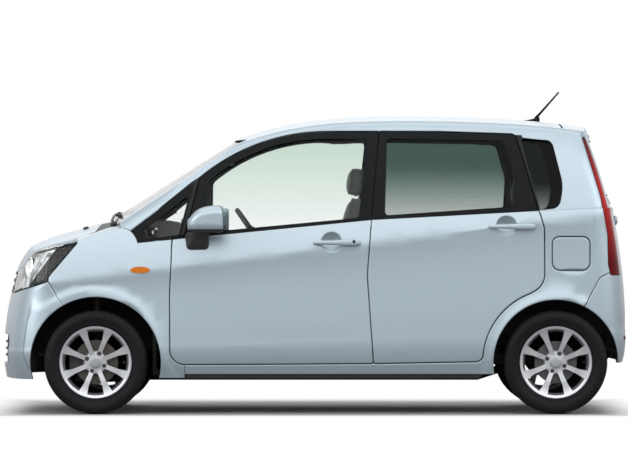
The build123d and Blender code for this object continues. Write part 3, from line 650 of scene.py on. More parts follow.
def gridFaces(rows, columns, loopRows=False, loopColumns=False):
    faces = []
    for row in range(rows if loopRows else rows - 1):
        here, following = row * columns, (row + 1) % rows * columns
        for i in range(columns if loopColumns else columns - 1):
            j = (i + 1) % columns
            faces.append((here + i, here + j, following + j, following + i))
    return faces


def endCaps(rows, columns):
    return [tuple(reversed(range(columns))), tuple((rows - 1) * columns + i for i in range(columns))]


def ringStack(rings, steps, closed=True):
    verts = []
    for radius, height in rings:
        for i in range(steps):
            turn = 2 * math.pi * i / steps
            verts.append(Vector((radius * math.cos(turn), radius * math.sin(turn), height)))
    faces = gridFaces(len(rings), steps, loopColumns=True)
    return verts, faces + endCaps(len(rings), steps) if closed else faces


def sweep(points, width, height, up=Vector((0, 0, 1)), count=8, endShare=0.55):
    # a bar of rounded section along a line of points, thinner at its ends
    verts = []
    last = len(points) - 1
    for k, point in enumerate(points):
        ahead = (Vector(points[min(k + 1, last)]) - Vector(points[max(k - 1, 0)])).normalized()
        side = ahead.cross(up).normalized()
        rise = side.cross(ahead)
        taper = endShare if k in (0, last) else 1.0
        for i in range(count):
            turn = 2 * math.pi * (i + 0.5) / count
            across = side * (width / 2 * taper * math.cos(turn))
            verts.append(Vector(point) + across + rise * (height / 2 * taper * math.sin(turn)))
    return verts, gridFaces(len(points), count, loopColumns=True) + endCaps(len(points), count)


def partFrom(bm):
    bm.verts.index_update()
    part = [v.co.copy() for v in bm.verts], [tuple(v.index for v in f.verts) for f in bm.faces]
    bm.free()
    return part


def softBox(size, radius, segments=3):
    bm = bmesh.new()
    bmesh.ops.create_cube(bm, size=1.0)
    bmesh.ops.scale(bm, vec=size, verts=bm.verts)
    bmesh.ops.bevel(bm, geom=bm.edges[:], offset=radius, segments=segments, profile=0.5, affect="EDGES")
    return partFrom(bm)


def roundedOutline(width, height, corner, steps):
    outline = []
    for quarter, (sx, sy) in enumerate(((1, 1), (-1, 1), (-1, -1), (1, -1))):
        for k in range(steps):
            turn = math.radians(90 * quarter + 90 / (steps - 1) * k)
            u = sx * (width / 2 - corner) + corner * math.cos(turn)
            v = sy * (height / 2 - corner) + corner * math.sin(turn)
            outline.append((u, v))
    return outline


nodeTrees = {}


def hitOn(names, start, toward):
    # nearest point and normal of these CAD nodes along a line, so that a piece sits on what carries it
    best = None
    for name in names:
        if name not in nodeTrees:
            mesh = nodes[name].data
            places = [v.co for v in mesh.vertices]
            nodeTrees[name] = BVHTree.FromPolygons(places, [p.vertices for p in mesh.polygons])
        hit = nodeTrees[name].ray_cast(Vector(start), Vector(toward).normalized())
        if hit[0] is not None and (best is None or hit[3] < best[3]):
            best = hit
    if best is None:
        raise RuntimeError(f"no surface of {names} from {start}")
    return best[0], best[1]


def spotOn(names, start, toward):
    return hitOn(names, start, toward)[0]


def lineOn(names, start, end, count, toward, lift=(0, 0, 0)):
    # spots along a line that is cast onto these nodes
    starts = zip(*(evenly(a, b, count) for a, b in zip(start, end)))
    return [spotOn(names, place, toward) + Vector(lift) for place in starts]


def piecesOf(node, test):
    # copies the faces of a CAD node that pass the test
    mesh = nodes[node].data
    used, verts, faces = {}, [], []
    for poly in mesh.polygons:
        if not test(poly.center, poly.normal):
            continue
        face = []
        for index in poly.vertices:
            co = mesh.vertices[index].co
            key = tuple(round(c, 5) for c in co)
            if key not in used:
                used[key] = len(verts)
                verts.append(co.copy())
            face.append(used[key])
        if len(set(face)) > 2:
            faces.append(tuple(dict.fromkeys(face)))
    return verts, faces


# tyres with grooved tread and ribbed sidewalls
tyre = {"pitches": 52, "grooveDepth": 0.0062, "sipeDepth": 0.004, "crease": 38}
tyreSide = [
    # radius, half width
    (0.1786, 0.0582), (0.1922, 0.0586), (0.1936, 0.0622), (0.1985, 0.0632), (0.2000, 0.0650),
    (0.2040, 0.0668), (0.2048, 0.0680), (0.2064, 0.0682), (0.2074, 0.0676), (0.2200, 0.0722),
    (0.2300, 0.0746), (0.2308, 0.0756), (0.2326, 0.0758), (0.2336, 0.0750), (0.2440, 0.0762),
    (0.2530, 0.0744), (0.2538, 0.0736), (0.2610, 0.0704), (0.2680, 0.0650), (0.2728, 0.0590),
]
tyreTread = [
    # radius, half width, what is cut into it
    (0.2746, 0.0545, "groove"), (0.2754, 0.0470, "groove"), (0.2690, 0.0460, ""), (0.2690, 0.0412, ""),
    (0.2756, 0.0402, "sipe"), (0.2760, 0.0220, "sipe"), (0.2698, 0.0210, ""), (0.2698, 0.0150, ""),
    (0.2760, 0.0140, "sipe"), (0.2760, 0.0008, "sipe"),
]
pitchSteps = [
    # share of a pitch, what is cut there
    (0.0, "land"), (0.40, "land"), (0.44, "sipe"), (0.50, "sipe"), (0.84, "land"), (0.88, "groove"),
    (0.97, "groove"),
]


def tyrePart(centre, sign):
    outer = [(r, w, "") for r, w in tyreSide] + tyreTread
    rows = outer + [(r, -w, cut) for r, w, cut in reversed(outer)]
    depth = {"groove": tyre["grooveDepth"], "sipe": tyre["sipeDepth"]}
    verts = []
    for pitch in range(tyre["pitches"]):
        for share, cutHere in pitchSteps:
            turn = (pitch + share) / tyre["pitches"] * 2 * math.pi
            for r, w, cut in rows:
                if cut == cutHere:
                    r -= depth[cut]
                verts.append(centre + Vector((r * math.cos(turn), sign * w, r * math.sin(turn))))
    faces = gridFaces(tyre["pitches"] * len(pitchSteps), len(rows), loopRows=True, loopColumns=True)
    return verts, faces if sign > 0 else [face[::-1] for face in faces]


lug = {"seat": 0.0455, "sides": 6,
       "rings": [(0.0076, 0.0), (0.0086, 0.0015), (0.0086, 0.0065), (0.0070, 0.0085), (0.0030, 0.0088)]}
valve = {"radius": 0.158, "seat": 0.036, "lean": -0.35,
         "rings": [(0.0060, 0.0), (0.0052, 0.010), (0.0036, 0.012), (0.0036, 0.020), (0.0044, 0.021),
                   (0.0044, 0.031), (0.0030, 0.033)]}
for end, x in wheel["places"].items():
    for side, sign in sides.items():
        centre = Vector((x, sign * wheel["halfTrack"], wheel["hubHeight"]))
        out = Vector((0, sign, 0))
        body = f"{end}_wheel_{side}"
        ring = newPiece(f"tyre_{end}_{side}", *tyrePart(centre, sign), body, "tyre", "tyre")
        keepCreases(ring, tyre["crease"])
        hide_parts(f"{end}_tyre_{side}")
        seat = sign * (wheel["halfTrack"] + lug["seat"])
        nut = ringStack(lug["rings"], lug["sides"])
        nuts = [aimed(nut, Vector((px, seat, pz)), out) for px, pz in nutPlaces(x)]
        newPiece(f"lugNuts_{end}_{side}", *joined(nuts), body, "alloy", "disc", smooth=False)
        foot = centre + Vector((valve["radius"], 0, 0)) + out * valve["seat"]
        stem = aimed(ringStack(valve["rings"], 12), foot, out + Vector((valve["lean"], 0, 0)))
        newPiece(f"valve_{end}_{side}", *stem, body, "black_trim", "seal")
print("wheels dressed")

# liners close the rear wheel arches
archLiner = {"radius": 0.3305, "inner": 0.500, "outer": 0.655, "first": 14.0, "last": 166.0, "steps": 37,
             "corner": 0.030, "thickness": 0.0025}
crown, bend, wall = archLiner["radius"], archLiner["corner"], archLiner["inner"]
linerProfile = [
    # radius, distance from the middle plane
    (0.0, wall), (crown - bend, wall), (crown - bend * 0.3, wall + bend * 0.3), (crown, wall + bend),
    (crown, archLiner["outer"]),
]
lowest = crown * math.sin(math.radians(archLiner["first"]))
for side, sign in sides.items():
    centre = Vector((wheel["places"]["rear"], 0, wheel["hubHeight"]))
    verts = []
    for angle in evenly(archLiner["first"], archLiner["last"], archLiner["steps"]):
        turn = math.radians(angle)
        for r, y in linerProfile:
            away = max(r, lowest / math.sin(turn))
            verts.append(centre + Vector((away * math.cos(turn), sign * y, away * math.sin(turn))))
    faces = gridFaces(archLiner["steps"], len(linerProfile))
    if sign > 0:
        faces = [face[::-1] for face in faces]
    shield = newPiece(f"archLiner_{side}", verts, faces, "body_shell", "chassis", "chassis")
    thicken(shield, archLiner["thickness"])
print("rear arches lined")

# mirror glass in each housing
mirrorGlass = {"x": -0.4905, "y": 0.832, "z": 1.038, "width": 0.128, "height": 0.100, "corner": 0.030,
               "bow": 0.0016, "rings": 5, "thickness": 0.003}


def bowedGlass(width, height, corner, bow, rings):
    outline = roundedOutline(width, height, corner, 7)
    verts = [Vector((0, 0, bow))]
    for ring in range(1, rings + 1):
        share = ring / rings
        verts += [Vector((u * share, v * share, bow * (1 - share * share))) for u, v in outline]
    n = len(outline)
    faces = [(0, 1 + i, 1 + (i + 1) % n) for i in range(n)]
    for ring in range(rings - 1):
        base = 1 + ring * n
        faces += [(base + i, base + n + i, base + n + (i + 1) % n, base + (i + 1) % n) for i in range(n)]
    return verts, faces


for side, sign in sides.items():
    part = bowedGlass(mirrorGlass["height"], mirrorGlass["width"], mirrorGlass["corner"], mirrorGlass["bow"],
                      mirrorGlass["rings"])
    part = moved(part, (mirrorGlass["x"], sign * mirrorGlass["y"], mirrorGlass["z"]), (0, 90, 0))
    pane = newPiece(f"mirrorGlass_{side}", *part, f"front_door_{side}", "mirror_shell", "mirror")
    thicken(pane, mirrorGlass["thickness"])
print("mirrors glazed")

# headlamps: a thin clear lens, a streaked reflector shell behind it, a black bezel, two cups with bulbs
headlamp = {"lensThickness": 0.0025, "shellGap": 0.016, "depth": 0.045, "longestEdge": 0.010,
            "bulb": [(0.004, 0.0), (0.010, 0.004), (0.011, 0.016), (0.008, 0.026), (0.003, 0.030)],
            "bulbFoot": 0.004, "bezelX": -1.424, "bezelSlope": 0.74, "bezelLevel": 0.82}
lampRows = [
    # distance from the middle, height, radius
    (0.455, 0.752, 0.046), (0.552, 0.778, 0.054),
]


def facesOut(c, n):
    return n.x * -0.72 + n.y * math.copysign(0.69, c.y) > 0.25


def reflectorPart(radius, depth):
    rings = [(radius * share, depth * share * share) for share in (0.12, 0.3, 0.5, 0.7, 0.85, 0.95, 1.0)]
    rings += [(radius * 1.06, depth + 0.002), (radius * 1.10, depth), (radius * 1.10, depth - 0.006)]
    return ringStack(rings, 40, closed=False)


def inCup(place, cups):
    for rim, axis, radius in cups:
        away = place - rim
        if away.length < 0.09 and (away - axis * away.dot(axis)).length < radius * 1.04:
            return True
    return False


def shellPart(part, cups):
    # the lens form, cut fine, set inward and opened where the cups stand
    bm = bmesh.new()
    for v in part[0]:
        bm.verts.new(v)
    bm.verts.ensure_lookup_table()
    for face in part[1]:
        bm.faces.new([bm.verts[i] for i in face])
    bmesh.ops.triangulate(bm, faces=bm.faces[:])
    for _ in range(5):
        longEdges = [e for e in bm.edges if e.calc_length() > headlamp["longestEdge"]]
        if not longEdges:
            break
        bmesh.ops.subdivide_edges(bm, edges=longEdges, cuts=1)
        bmesh.ops.triangulate(bm, faces=[f for f in bm.faces if len(f.verts) > 3])
    bm.normal_update()
    inward = {v: v.co - v.normal * headlamp["shellGap"] for v in bm.verts}
    for v, place in inward.items():
        v.co = place
    opened = [face for face in bm.faces if inCup(face.calc_center_median(), cups)]
    bmesh.ops.delete(bm, geom=opened, context="FACES")
    return partFrom(bm)


lensPart = piecesOf("headlamps", facesOut)
lens = newPiece("headlampLenses", *lensPart, "body_shell", "lamp_clear", "headLens")
thicken(lens, headlamp["lensThickness"])
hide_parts("headlamps")
bowlPart = piecesOf("headlamps", lambda c, n: not facesOut(c, n))
newPiece("headlampBowls", *bowlPart, "body_shell", "lamp_clear", "bezel")
cups = []
for side, sign in sides.items():
    for k, (y, z, radius) in enumerate(lampRows):
        axis = Vector((-0.94, sign * 0.3, 0.1)).normalized()
        rim = spotOn(["headlamps"], (-2.0, sign * y, z), (1, 0, 0)) - axis * headlamp["shellGap"]
        back = rim - axis * headlamp["depth"]
        cups.append((rim, axis, radius))
        cup = aimed(reflectorPart(radius, headlamp["depth"]), back, axis)
        newPiece(f"reflector_{side}_{k}", *cup, "body_shell", "lamp_clear", "chrome")
        bulb = aimed(ringStack(headlamp["bulb"], 20), back + axis * headlamp["bulbFoot"], axis)
        newPiece(f"bulb_{side}_{k}", *bulb, "body_shell", "lamp_clear", "headLens")
# the shell carries painted reflection streaks, and the bezel black beyond its edge
shell = newPiece("headlampShells", *shellPart(lensPart, cups), "body_shell", "lamp_clear", "streakChrome")
shell.data.materials.append(finish["bezel"])
for poly in shell.data.polygons:
    bezelEdge = headlamp["bezelX"] + headlamp["bezelSlope"] * (poly.center.z - headlamp["bezelLevel"])
    poly.material_index = 1 if poly.center.x > bezelEdge else 0
print("headlamps opened")

# grille backing and the slats of the lower intake follow the bumper's bow
intake = {"low": 0.268, "high": 0.412, "under": 0.255, "over": 0.425, "reach": 0.445, "columns": 25,
          "set": 0.011, "slats": 3, "slat": (0.016, 0.011), "fins": 7, "fin": (0.007, 0.012),
          "finReach": 0.36, "finSet": 0.020, "finHeights": (0.262, 0.30, 0.34, 0.38, 0.418),
          "backingReach": 0.455, "backingHeights": (0.262, 0.420), "backingSet": 0.048,
          "backingThickness": 0.003}
grilleBacking = {"size": (0.006, 0.70, 0.052), "place": (-1.597, 0, 0.666)}


def onBumper(y, z, depth):
    # a point behind the line from the lower to the upper edge of the opening
    share = (z - intake["low"]) / (intake["high"] - intake["low"])
    under = spotOn(["front_bumper"], (-2.2, y, intake["under"]), (1, 0, 0))
    over = spotOn(["front_bumper"], (-2.2, y, intake["over"]), (1, 0, 0))
    return Vector((under.x + (over.x - under.x) * share + depth, y, z))


bars = []
for z in evenly(intake["low"], intake["high"], intake["slats"] + 2)[1:-1]:
    columns = evenly(-intake["reach"], intake["reach"], intake["columns"])
    bars.append(sweep([onBumper(y, z, intake["set"]) for y in columns], *intake["slat"]))
for y in evenly(-intake["finReach"], intake["finReach"], intake["fins"]):
    line = [onBumper(y, z, intake["finSet"]) for z in intake["finHeights"]]
    bars.append(sweep(line, *intake["fin"], Vector((1, 0, 0))))
newPiece("intakeSlats", *joined(bars), "body_shell", "black_trim", "trim")
columns = evenly(-intake["backingReach"], intake["backingReach"], intake["columns"])
verts = [onBumper(y, z, intake["backingSet"]) for y in columns for z in intake["backingHeights"]]
backing = newPiece("intakeBacking", verts, gridFaces(len(columns), 2), "body_shell", "black_trim", "seal")
thicken(backing, intake["backingThickness"])
upperBacking = moved(softBox(grilleBacking["size"], 0.002), grilleBacking["place"])
newPiece("grilleBacking", *upperBacking, "body_shell", "black_trim", "seal")
print("intakes filled")

# wipers lie along the foot of the windscreen, washer jets on the bonnet's rear
wiper = {"lift": (-0.010, 0, 0.004), "blade": (0.012, 0.018), "arm": (0.014, 0.010), "pivotX": -1.075,
         "pivotAside": 0.035, "tipRise": 0.020,
         "cap": [(0.018, -0.004), (0.018, 0.010), (0.013, 0.018), (0.005, 0.020)]}
wiperRows = [
    # y of the blade's ends, height of its foot
    (-0.50, 0.04, 1.052), (0.02, 0.46, 1.058),
]
washer = {"x": -1.235, "places": (-0.30, 0.30), "size": (0.030, 0.022, 0.016), "lift": 0.004, "pitch": -14}
for k, (y0, y1, z) in enumerate(wiperRows):
    tip = (-2.0, y1, z + wiper["tipRise"])
    line = lineOn(["windscreen", "cowl_panel"], (-2.0, y0, z), tip, 13, (1, 0, 0), wiper["lift"])
    newPiece(f"wiperBlade_{k}", *sweep(line, *wiper["blade"]), "body_shell", "black_trim", "seal")
    pivot = spotOn(["cowl_panel"], (wiper["pivotX"], y0 - wiper["pivotAside"], 1.3), (0, 0, -1))
    middle = line[7]
    armLine = [pivot + Vector((0, 0, 0.012)), pivot + Vector((-0.012, 0.05, 0.026)),
               pivot.lerp(middle, 0.6) + Vector((-0.012, 0, 0.014)), middle + Vector((-0.008, 0, 0.006))]
    cap = aimed(ringStack(wiper["cap"], 24), pivot, (0, 0, 1))
    arm = joined([sweep(armLine, *wiper["arm"]), cap])
    newPiece(f"wiperArm_{k}", *arm, "body_shell", "black_trim", "trim")
jets = []
for y in washer["places"]:
    place, normal = hitOn(["bonnet"], (washer["x"], y, 1.5), (0, 0, -1))
    seat = place + normal * washer["lift"]
    jets.append(moved(softBox(washer["size"], 0.005), seat, (0, washer["pitch"], 0)))
newPiece("washerJets", *joined(jets), "bonnet", "black_trim", "trim")
print("wipers laid")

# tail end: pull garnish, wiper and the high lamp ride on the tailgate, reflectors on the bumper
tailTrim = {"behind": 2.4, "garnishHeight": 1.035, "garnishReach": 0.29, "garnish": (0.026, 0.056),
            "wiperFoot": 1.118, "wiperStart": 0.02, "wiperReach": 0.30, "wiperRise": 0.055,
            "blade": (0.014, 0.012), "arm": (0.012, 0.010),
            "hub": [(0.020, -0.006), (0.020, 0.010), (0.015, 0.020), (0.006, 0.023)],
            "lampHeight": 1.492, "lampReach": 0.13, "lamp": (0.012, 0.022),
            "reflectorHeight": 0.405, "reflectorSpan": (0.45, 0.57), "reflector": (0.012, 0.030)}


def acrossTail(names, y0, y1, z, count, stand=0.0):
    behind = tailTrim["behind"]
    return lineOn(names, (behind, y0, z), (behind, y1, z), count, (-1, 0, 0), (stand, 0, 0))


gate = ["tailgate", "tailgate_glass"]
reach = tailTrim["garnishReach"]
bar = acrossTail(["tailgate"], -reach, reach, tailTrim["garnishHeight"], 15, 0.004)
newPiece("tailGarnish", *sweep(bar, *tailTrim["garnish"]), "tailgate", "paint", "paint")
foot, normal = hitOn(gate, (tailTrim["behind"], 0, tailTrim["wiperFoot"]), (-1, 0, 0))
hub = aimed(ringStack(tailTrim["hub"], 24), foot, normal)
bladeEnd = tailTrim["wiperStart"] + tailTrim["wiperReach"]
bladeHeight = tailTrim["wiperFoot"] + tailTrim["wiperRise"]
blade = acrossTail(gate, tailTrim["wiperStart"], bladeEnd, bladeHeight, 9, 0.012)
armLine = [foot + Vector((0.014, 0, 0)), foot + Vector((0.024, 0.04, 0.012)),
           blade[4] + Vector((0.008, 0, 0))]
rearWiper = joined([hub, sweep(blade, *tailTrim["blade"]), sweep(armLine, *tailTrim["arm"])])
newPiece("rearWiper", *rearWiper, "tailgate", "black_trim", "trim")
high = acrossTail(["tailgate"], -tailTrim["lampReach"], tailTrim["lampReach"], tailTrim["lampHeight"], 7)
newPiece("highStopLamp", *sweep(high, *tailTrim["lamp"]), "tailgate", "lamp_red", "redLens")
for side, sign in sides.items():
    inner, outer = (sign * y for y in tailTrim["reflectorSpan"])
    line = acrossTail(["rear_bumper"], inner, outer, tailTrim["reflectorHeight"], 7)
    reflector = sweep(line, *tailTrim["reflector"])
    newPiece(f"rearReflector_{side}", *reflector, "body_shell", "lamp_red", "redLens")
print("tail trim set")

# aerial: finned foot and a tapered rubber whip, in the room of the plain CAD one
aerial = {"front": 1.148, "rear": 1.238, "halfWidth": 0.017, "rise": 0.031, "rows": 15, "columns": 13,
          "root": (1.221, 0, 1.600), "tip": (1.344, 0, 1.7395)}
footVerts = []
for share in evenly(0.0, 1.0, aerial["rows"]):
    x = aerial["front"] + (aerial["rear"] - aerial["front"]) * share
    roofSpot = spotOn(["roof_panel"], (x, 0, 2.0), (0, 0, -1))
    width = aerial["halfWidth"] * (0.25 + 0.75 * math.sin(math.pi * min(1.0, share * 0.62 + 0.02)))
    rise = aerial["rise"] * (0.10 + 0.90 * share ** 1.3) * (1.0 if share < 0.93 else 0.86)
    for turn in evenly(0.0, math.pi, aerial["columns"]):
        crest = max(0.0, math.sin(turn)) ** 0.8
        footVerts.append(roofSpot + Vector((0, width * math.cos(turn), rise * crest - 0.001)))
footFaces = [(a, d, c, b) for a, b, c, d in gridFaces(aerial["rows"], aerial["columns"], loopColumns=True)]
footFaces += [face[::-1] for face in endCaps(aerial["rows"], aerial["columns"])]
root = Vector(aerial["root"])
whip = Vector(aerial["tip"]) - root
whipRings = [(0.0085, -0.010), (0.0085, 0.012), (0.0066, 0.018), (0.0060, 0.060), (0.0052, 0.120),
             (0.0046, whip.length - 0.006), (0.0038, whip.length - 0.001), (0.0016, whip.length)]
mast = aimed(ringStack(whipRings, 20), root, whip)
roofAerial = joined([(footVerts, footFaces), mast])
aerialPiece = newPiece("roofAerial", *roofAerial, "body_shell", "black_trim", "sash")
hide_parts("aerial")
print("aerial set")

# front door handles carry a key cylinder
keyLock = {"x": 0.213, "z": 0.920,
           "rings": [(0.0085, -0.004), (0.0085, 0.0015), (0.0072, 0.0025), (0.0030, 0.0020)]}
for side, sign in sides.items():
    door = f"front_door_{side}"
    spot = spotOn([door], (keyLock["x"], sign * 1.2, keyLock["z"]), (0, -sign, 0))
    lock = aimed(ringStack(keyLock["rings"], 20), spot, (0, sign, 0))
    newPiece(f"keyCylinder_{side}", *lock, door, "black_trim", "seal")
print("key cylinders set")

# seats: crowned cushions with sewn channels, bolsters and piping
pad = {"grid": 22, "channelDepth": 0.010, "channelWidth": 0.035, "piping": 0.0035, "pipingInset": 0.012}
frontRows = [
    # name, place, pitch, size, rim radius, crown, bolster, channels along u or w
    ("cushion", (-0.125, 0, 0.535), -3, (0.40, 0.46, 0.110), 0.045, 0.016, 0.016,
     [("u", -0.30), ("u", 0.25), ("w", -0.62), ("w", 0.62)]),
    ("back", (0.182, 0, 0.858), -77.5, (0.60, 0.45, 0.100), 0.042, 0.012, 0.020,
     [("u", -0.45), ("u", 0.0), ("u", 0.45), ("w", -0.62), ("w", 0.62)]),
    ("headrest", (0.230, 0, 1.244), -82, (0.140, 0.240, 0.082), 0.034, 0.008, 0.0, [("u", -0.55)]),
]
benchRows = [
    ("cushion", (0.815, 0, 0.512), -3, (0.40, 0.98, 0.120), 0.045, 0.014, 0.010,
     [("u", -0.2), ("u", 0.35), ("w", 0.0)]),
    ("back", (1.092, 0, 0.835), -79.5, (0.56, 0.98, 0.082), 0.036, 0.010, 0.008,
     [("u", -0.4), ("u", 0.2), ("w", 0.0)]),
    ("headrestLeft", (1.132, -0.26, 1.190), -84, (0.112, 0.226, 0.070), 0.028, 0.006, 0.0, [("u", -0.5)]),
    ("headrestRight", (1.132, 0.26, 1.190), -84, (0.112, 0.226, 0.070), 0.028, 0.006, 0.0, [("u", -0.5)]),
]
seatFrame = {"aside": 0.33, "shellSize": (0.46, 0.44, 0.075), "shellPlace": (-0.085, 0.455),
             "railSize": (0.44, 0.036, 0.030), "railPlace": (-0.055, 0.2505), "railSpread": 0.18,
             "legSize": (0.040, 0.022, 0.180), "legPlaces": (-0.235, 0.125), "legHeight": 0.342,
             "post": [(0.0065, 0.0), (0.0065, 0.075)], "postPlace": (0.236, 1.115), "postSpread": 0.054,
             "postLean": -0.03}
benchFrame = {"panSize": (0.28, 0.96, 0.05), "panPlace": (0.755, 0, 0.452), "frontSize": (0.036, 0.94, 0.19),
              "frontPlace": (0.660, 0, 0.335), "post": [(0.006, 0.0), (0.006, 0.07)],
              "postPlace": (1.139, 1.092), "headrests": (-0.26, 0.26)}


def padPart(size, radius, crown, bolster, channels):
    # local z is the face that carries the sitter
    bm = bmesh.new()
    bmesh.ops.create_cube(bm, size=2.0)
    bmesh.ops.subdivide_edges(bm, edges=bm.edges[:], cuts=pad["grid"], use_grid_fill=True)
    half = Vector(size) / 2
    for v in bm.verts:
        u, w, h = v.co
        point = Vector((u * half.x, w * half.y, h * half.z))
        inner = Vector([max(-(s - radius), min(s - radius, c)) for c, s in zip(point, half)])
        away = point - inner
        if away.length > 1e-9:
            # cube corners and edges are pulled onto a rounded rim
            point = inner + away.normalized() * max(abs(c) for c in away)
        top = max(0.0, h)
        point.z += crown * (1 - u * u) * (1 - w * w) * (1.0 if h > 0 else -0.25) * abs(h)
        point.z += bolster * top * max(0.0, abs(w) - 0.62) / 0.38 * (1 - u ** 4)
        point.x *= 1 - 0.025 * (1 - w * w) * (1 - h * h)
        point.y *= 1 - 0.030 * (1 - u * u) * (1 - h * h)
        for axis, place in channels:
            gap = ((u if axis == "u" else w) - place) / pad["channelWidth"]
            if axis == "w" or abs(w) < 0.66:
                point.z -= pad["channelDepth"] * top * math.exp(-gap * gap)
        v.co = point
    return partFrom(bm)


def pipingPart(width, depth, radius, height, sides=6):
    path = [Vector((u, v, height)) for u, v in roundedOutline(width, depth, radius, 6)]
    verts = []
    for k, point in enumerate(path):
        ahead = (path[(k + 1) % len(path)] - path[k - 1]).normalized()
        aside = ahead.cross(Vector((0, 0, 1)))
        for i in range(sides):
            turn = 2 * math.pi * i / sides
            up = Vector((0, 0, pad["piping"] * math.sin(turn)))
            verts.append(point + aside * (pad["piping"] * math.cos(turn)) + up)
    return verts, gridFaces(len(path), sides, loopRows=True, loopColumns=True)


def makePads(prefix, rows, y):
    made = []
    for name, place, pitch, size, radius, crown, bolster, channels in rows:
        spot = Vector(place) + Vector((0, y, 0))
        part = moved(padPart(size, radius, crown, bolster, channels), spot, (0, pitch, 0))
        cushion = newPiece(f"{prefix}_{name}", *part, "body_shell", "fabric", "cloth")
        soft = cushion.modifiers.new("softForm", "SUBSURF")
        soft.levels = soft.render_levels = 1
        width, depth = size[0] - pad["pipingInset"], size[1] - pad["pipingInset"]
        piping = moved(pipingPart(width, depth, radius, size[2] / 2 - radius * 0.35), spot, (0, pitch, 0))
        newPiece(f"{prefix}_{name}Piping", *piping, "body_shell", "fabric", "seatTrim")
        made.append(cushion)
    return made


def postsPart(rings, x, z, middles, lean=0.0):
    post = ringStack(rings, 14)
    spread = seatFrame["postSpread"]
    places = [Vector((x, y + dy, z)) for y in middles for dy in (-spread, spread)]
    return joined([aimed(post, place, (lean, 0, 1)) for place in places])


def seatBase(prefix, y):
    x, z = seatFrame["shellPlace"]
    parts = [moved(softBox(seatFrame["shellSize"], 0.022, 4), (x, y, z))]
    x, z = seatFrame["railPlace"]
    for dy in (-seatFrame["railSpread"], seatFrame["railSpread"]):
        parts.append(moved(softBox(seatFrame["railSize"], 0.008), (x, y + dy, z)))
        for legX in seatFrame["legPlaces"]:
            parts.append(moved(softBox(seatFrame["legSize"], 0.006), (legX, y + dy, seatFrame["legHeight"])))
    newPiece(f"{prefix}_base", *joined(parts), "body_shell", "dash", "dash")
    posts = postsPart(seatFrame["post"], *seatFrame["postPlace"], [y], seatFrame["postLean"])
    newPiece(f"{prefix}_posts", *posts, "body_shell", "iron", "chrome")


frontPads = []
for side, sign in sides.items():
    frontPads += makePads(f"frontSeat_{side}", frontRows, sign * seatFrame["aside"])
    seatBase(f"frontSeat_{side}", sign * seatFrame["aside"])
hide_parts("front_seats")
benchPads = makePads("rearSeat", benchRows, 0)
benchBase = [moved(softBox(benchFrame["panSize"], 0.018), benchFrame["panPlace"]),
             moved(softBox(benchFrame["frontSize"], 0.010), benchFrame["frontPlace"])]
benchPosts = postsPart(benchFrame["post"], *benchFrame["postPlace"], benchFrame["headrests"])
newPiece("rearSeat_base", *joined(benchBase), "body_shell", "dash", "dash")
newPiece("rearSeat_posts", *benchPosts, "body_shell", "iron", "chrome")
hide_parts("rear_seat")
print("seats upholstered:", len(frontPads) + len(benchPads), "pads")

# binnacle: a hood over two blank dials
binnacle = {"y": 0.330, "hoodX": (-0.735, -0.585), "rows": 9, "columns": 17, "halfWidth": 0.135,
            "narrowing": 0.020, "rise": 0.052, "sink": 0.004, "thickness": 0.006,
            "dialX": -0.665, "dialSpread": 0.055,
            "dial": [(0.001, 0.004), (0.034, 0.004), (0.038, 0.010), (0.042, 0.010), (0.043, 0.0)]}
hoodVerts = []
for share in evenly(0.0, 1.0, binnacle["rows"]):
    x = binnacle["hoodX"][0] + (binnacle["hoodX"][1] - binnacle["hoodX"][0]) * share
    deck = spotOn(["dashboard"], (x, binnacle["y"], 1.4), (0, 0, -1))
    width = binnacle["halfWidth"] - binnacle["narrowing"] * (1 - share)
    rise = binnacle["rise"] * (0.35 + 0.65 * math.sin(math.pi * (0.15 + 0.60 * share)))
    for turn in evenly(0.0, math.pi, binnacle["columns"]):
        up = deck.z - binnacle["sink"] + rise * max(0.0, math.sin(turn)) ** 0.7
        hoodVerts.append(Vector((x, binnacle["y"] + width * math.cos(turn), up)))
hoodFaces = gridFaces(binnacle["rows"], binnacle["columns"])
hood = newPiece("dialHood", hoodVerts, hoodFaces, "body_shell", "dash", "dash")
thicken(hood, binnacle["thickness"])
dials = []
for dy in (-binnacle["dialSpread"], binnacle["dialSpread"]):
    spot = spotOn(["dashboard"], (binnacle["dialX"], binnacle["y"] + dy, 1.4), (0, 0, -1))
    dial = ringStack(binnacle["dial"], 32, closed=False)
    dials.append(aimed(dial, spot + Vector((0, 0, 0.012)), (0.80, 0, 0.60)))
newPiece("dialRings", *joined(dials), "body_shell", "dash", "bezel")

# dashboard: vents, a blank screen, knobs and the gear lever
dash = {"ventHeight": 0.925, "vents": (-0.46, -0.11, 0.11, 0.50), "screen": (0.010, 0.17, 0.095),
        "screenHeight": 0.845, "screenPitch": -17, "knobHeight": 0.765, "knobs": (-0.07, 0.0, 0.07),
        "knob": [(0.022, -0.002), (0.021, 0.012), (0.018, 0.016), (0.004, 0.017)], "leverX": -0.565,
        "boot": [(0.044, -0.002), (0.040, 0.012), (0.024, 0.030), (0.010, 0.042)],
        "stick": [(0.007, 0.030), (0.006, 0.085)],
        "grip": [(0.008, 0.080), (0.019, 0.088), (0.023, 0.105), (0.020, 0.122), (0.008, 0.130)]}
ventBars = [
    # middle, half length, width, height: frame above and below, blades, frame at the ends
    *(((0.003, 0, dz), (0, 0.052, 0), 0.010, 0.008) for dz in (-0.026, 0.026)),
    *(((0.001, 0, dz), (0, 0.050, 0), 0.012, 0.003) for dz in (-0.013, 0.0, 0.013)),
    *(((0.003, dy, 0), (0, 0, 0.028), 0.008, 0.010) for dy in (-0.052, 0.052)),
]


def onDash(y, z):
    return spotOn(["dashboard"], (0.2, y, z), (-1, 0, 0))


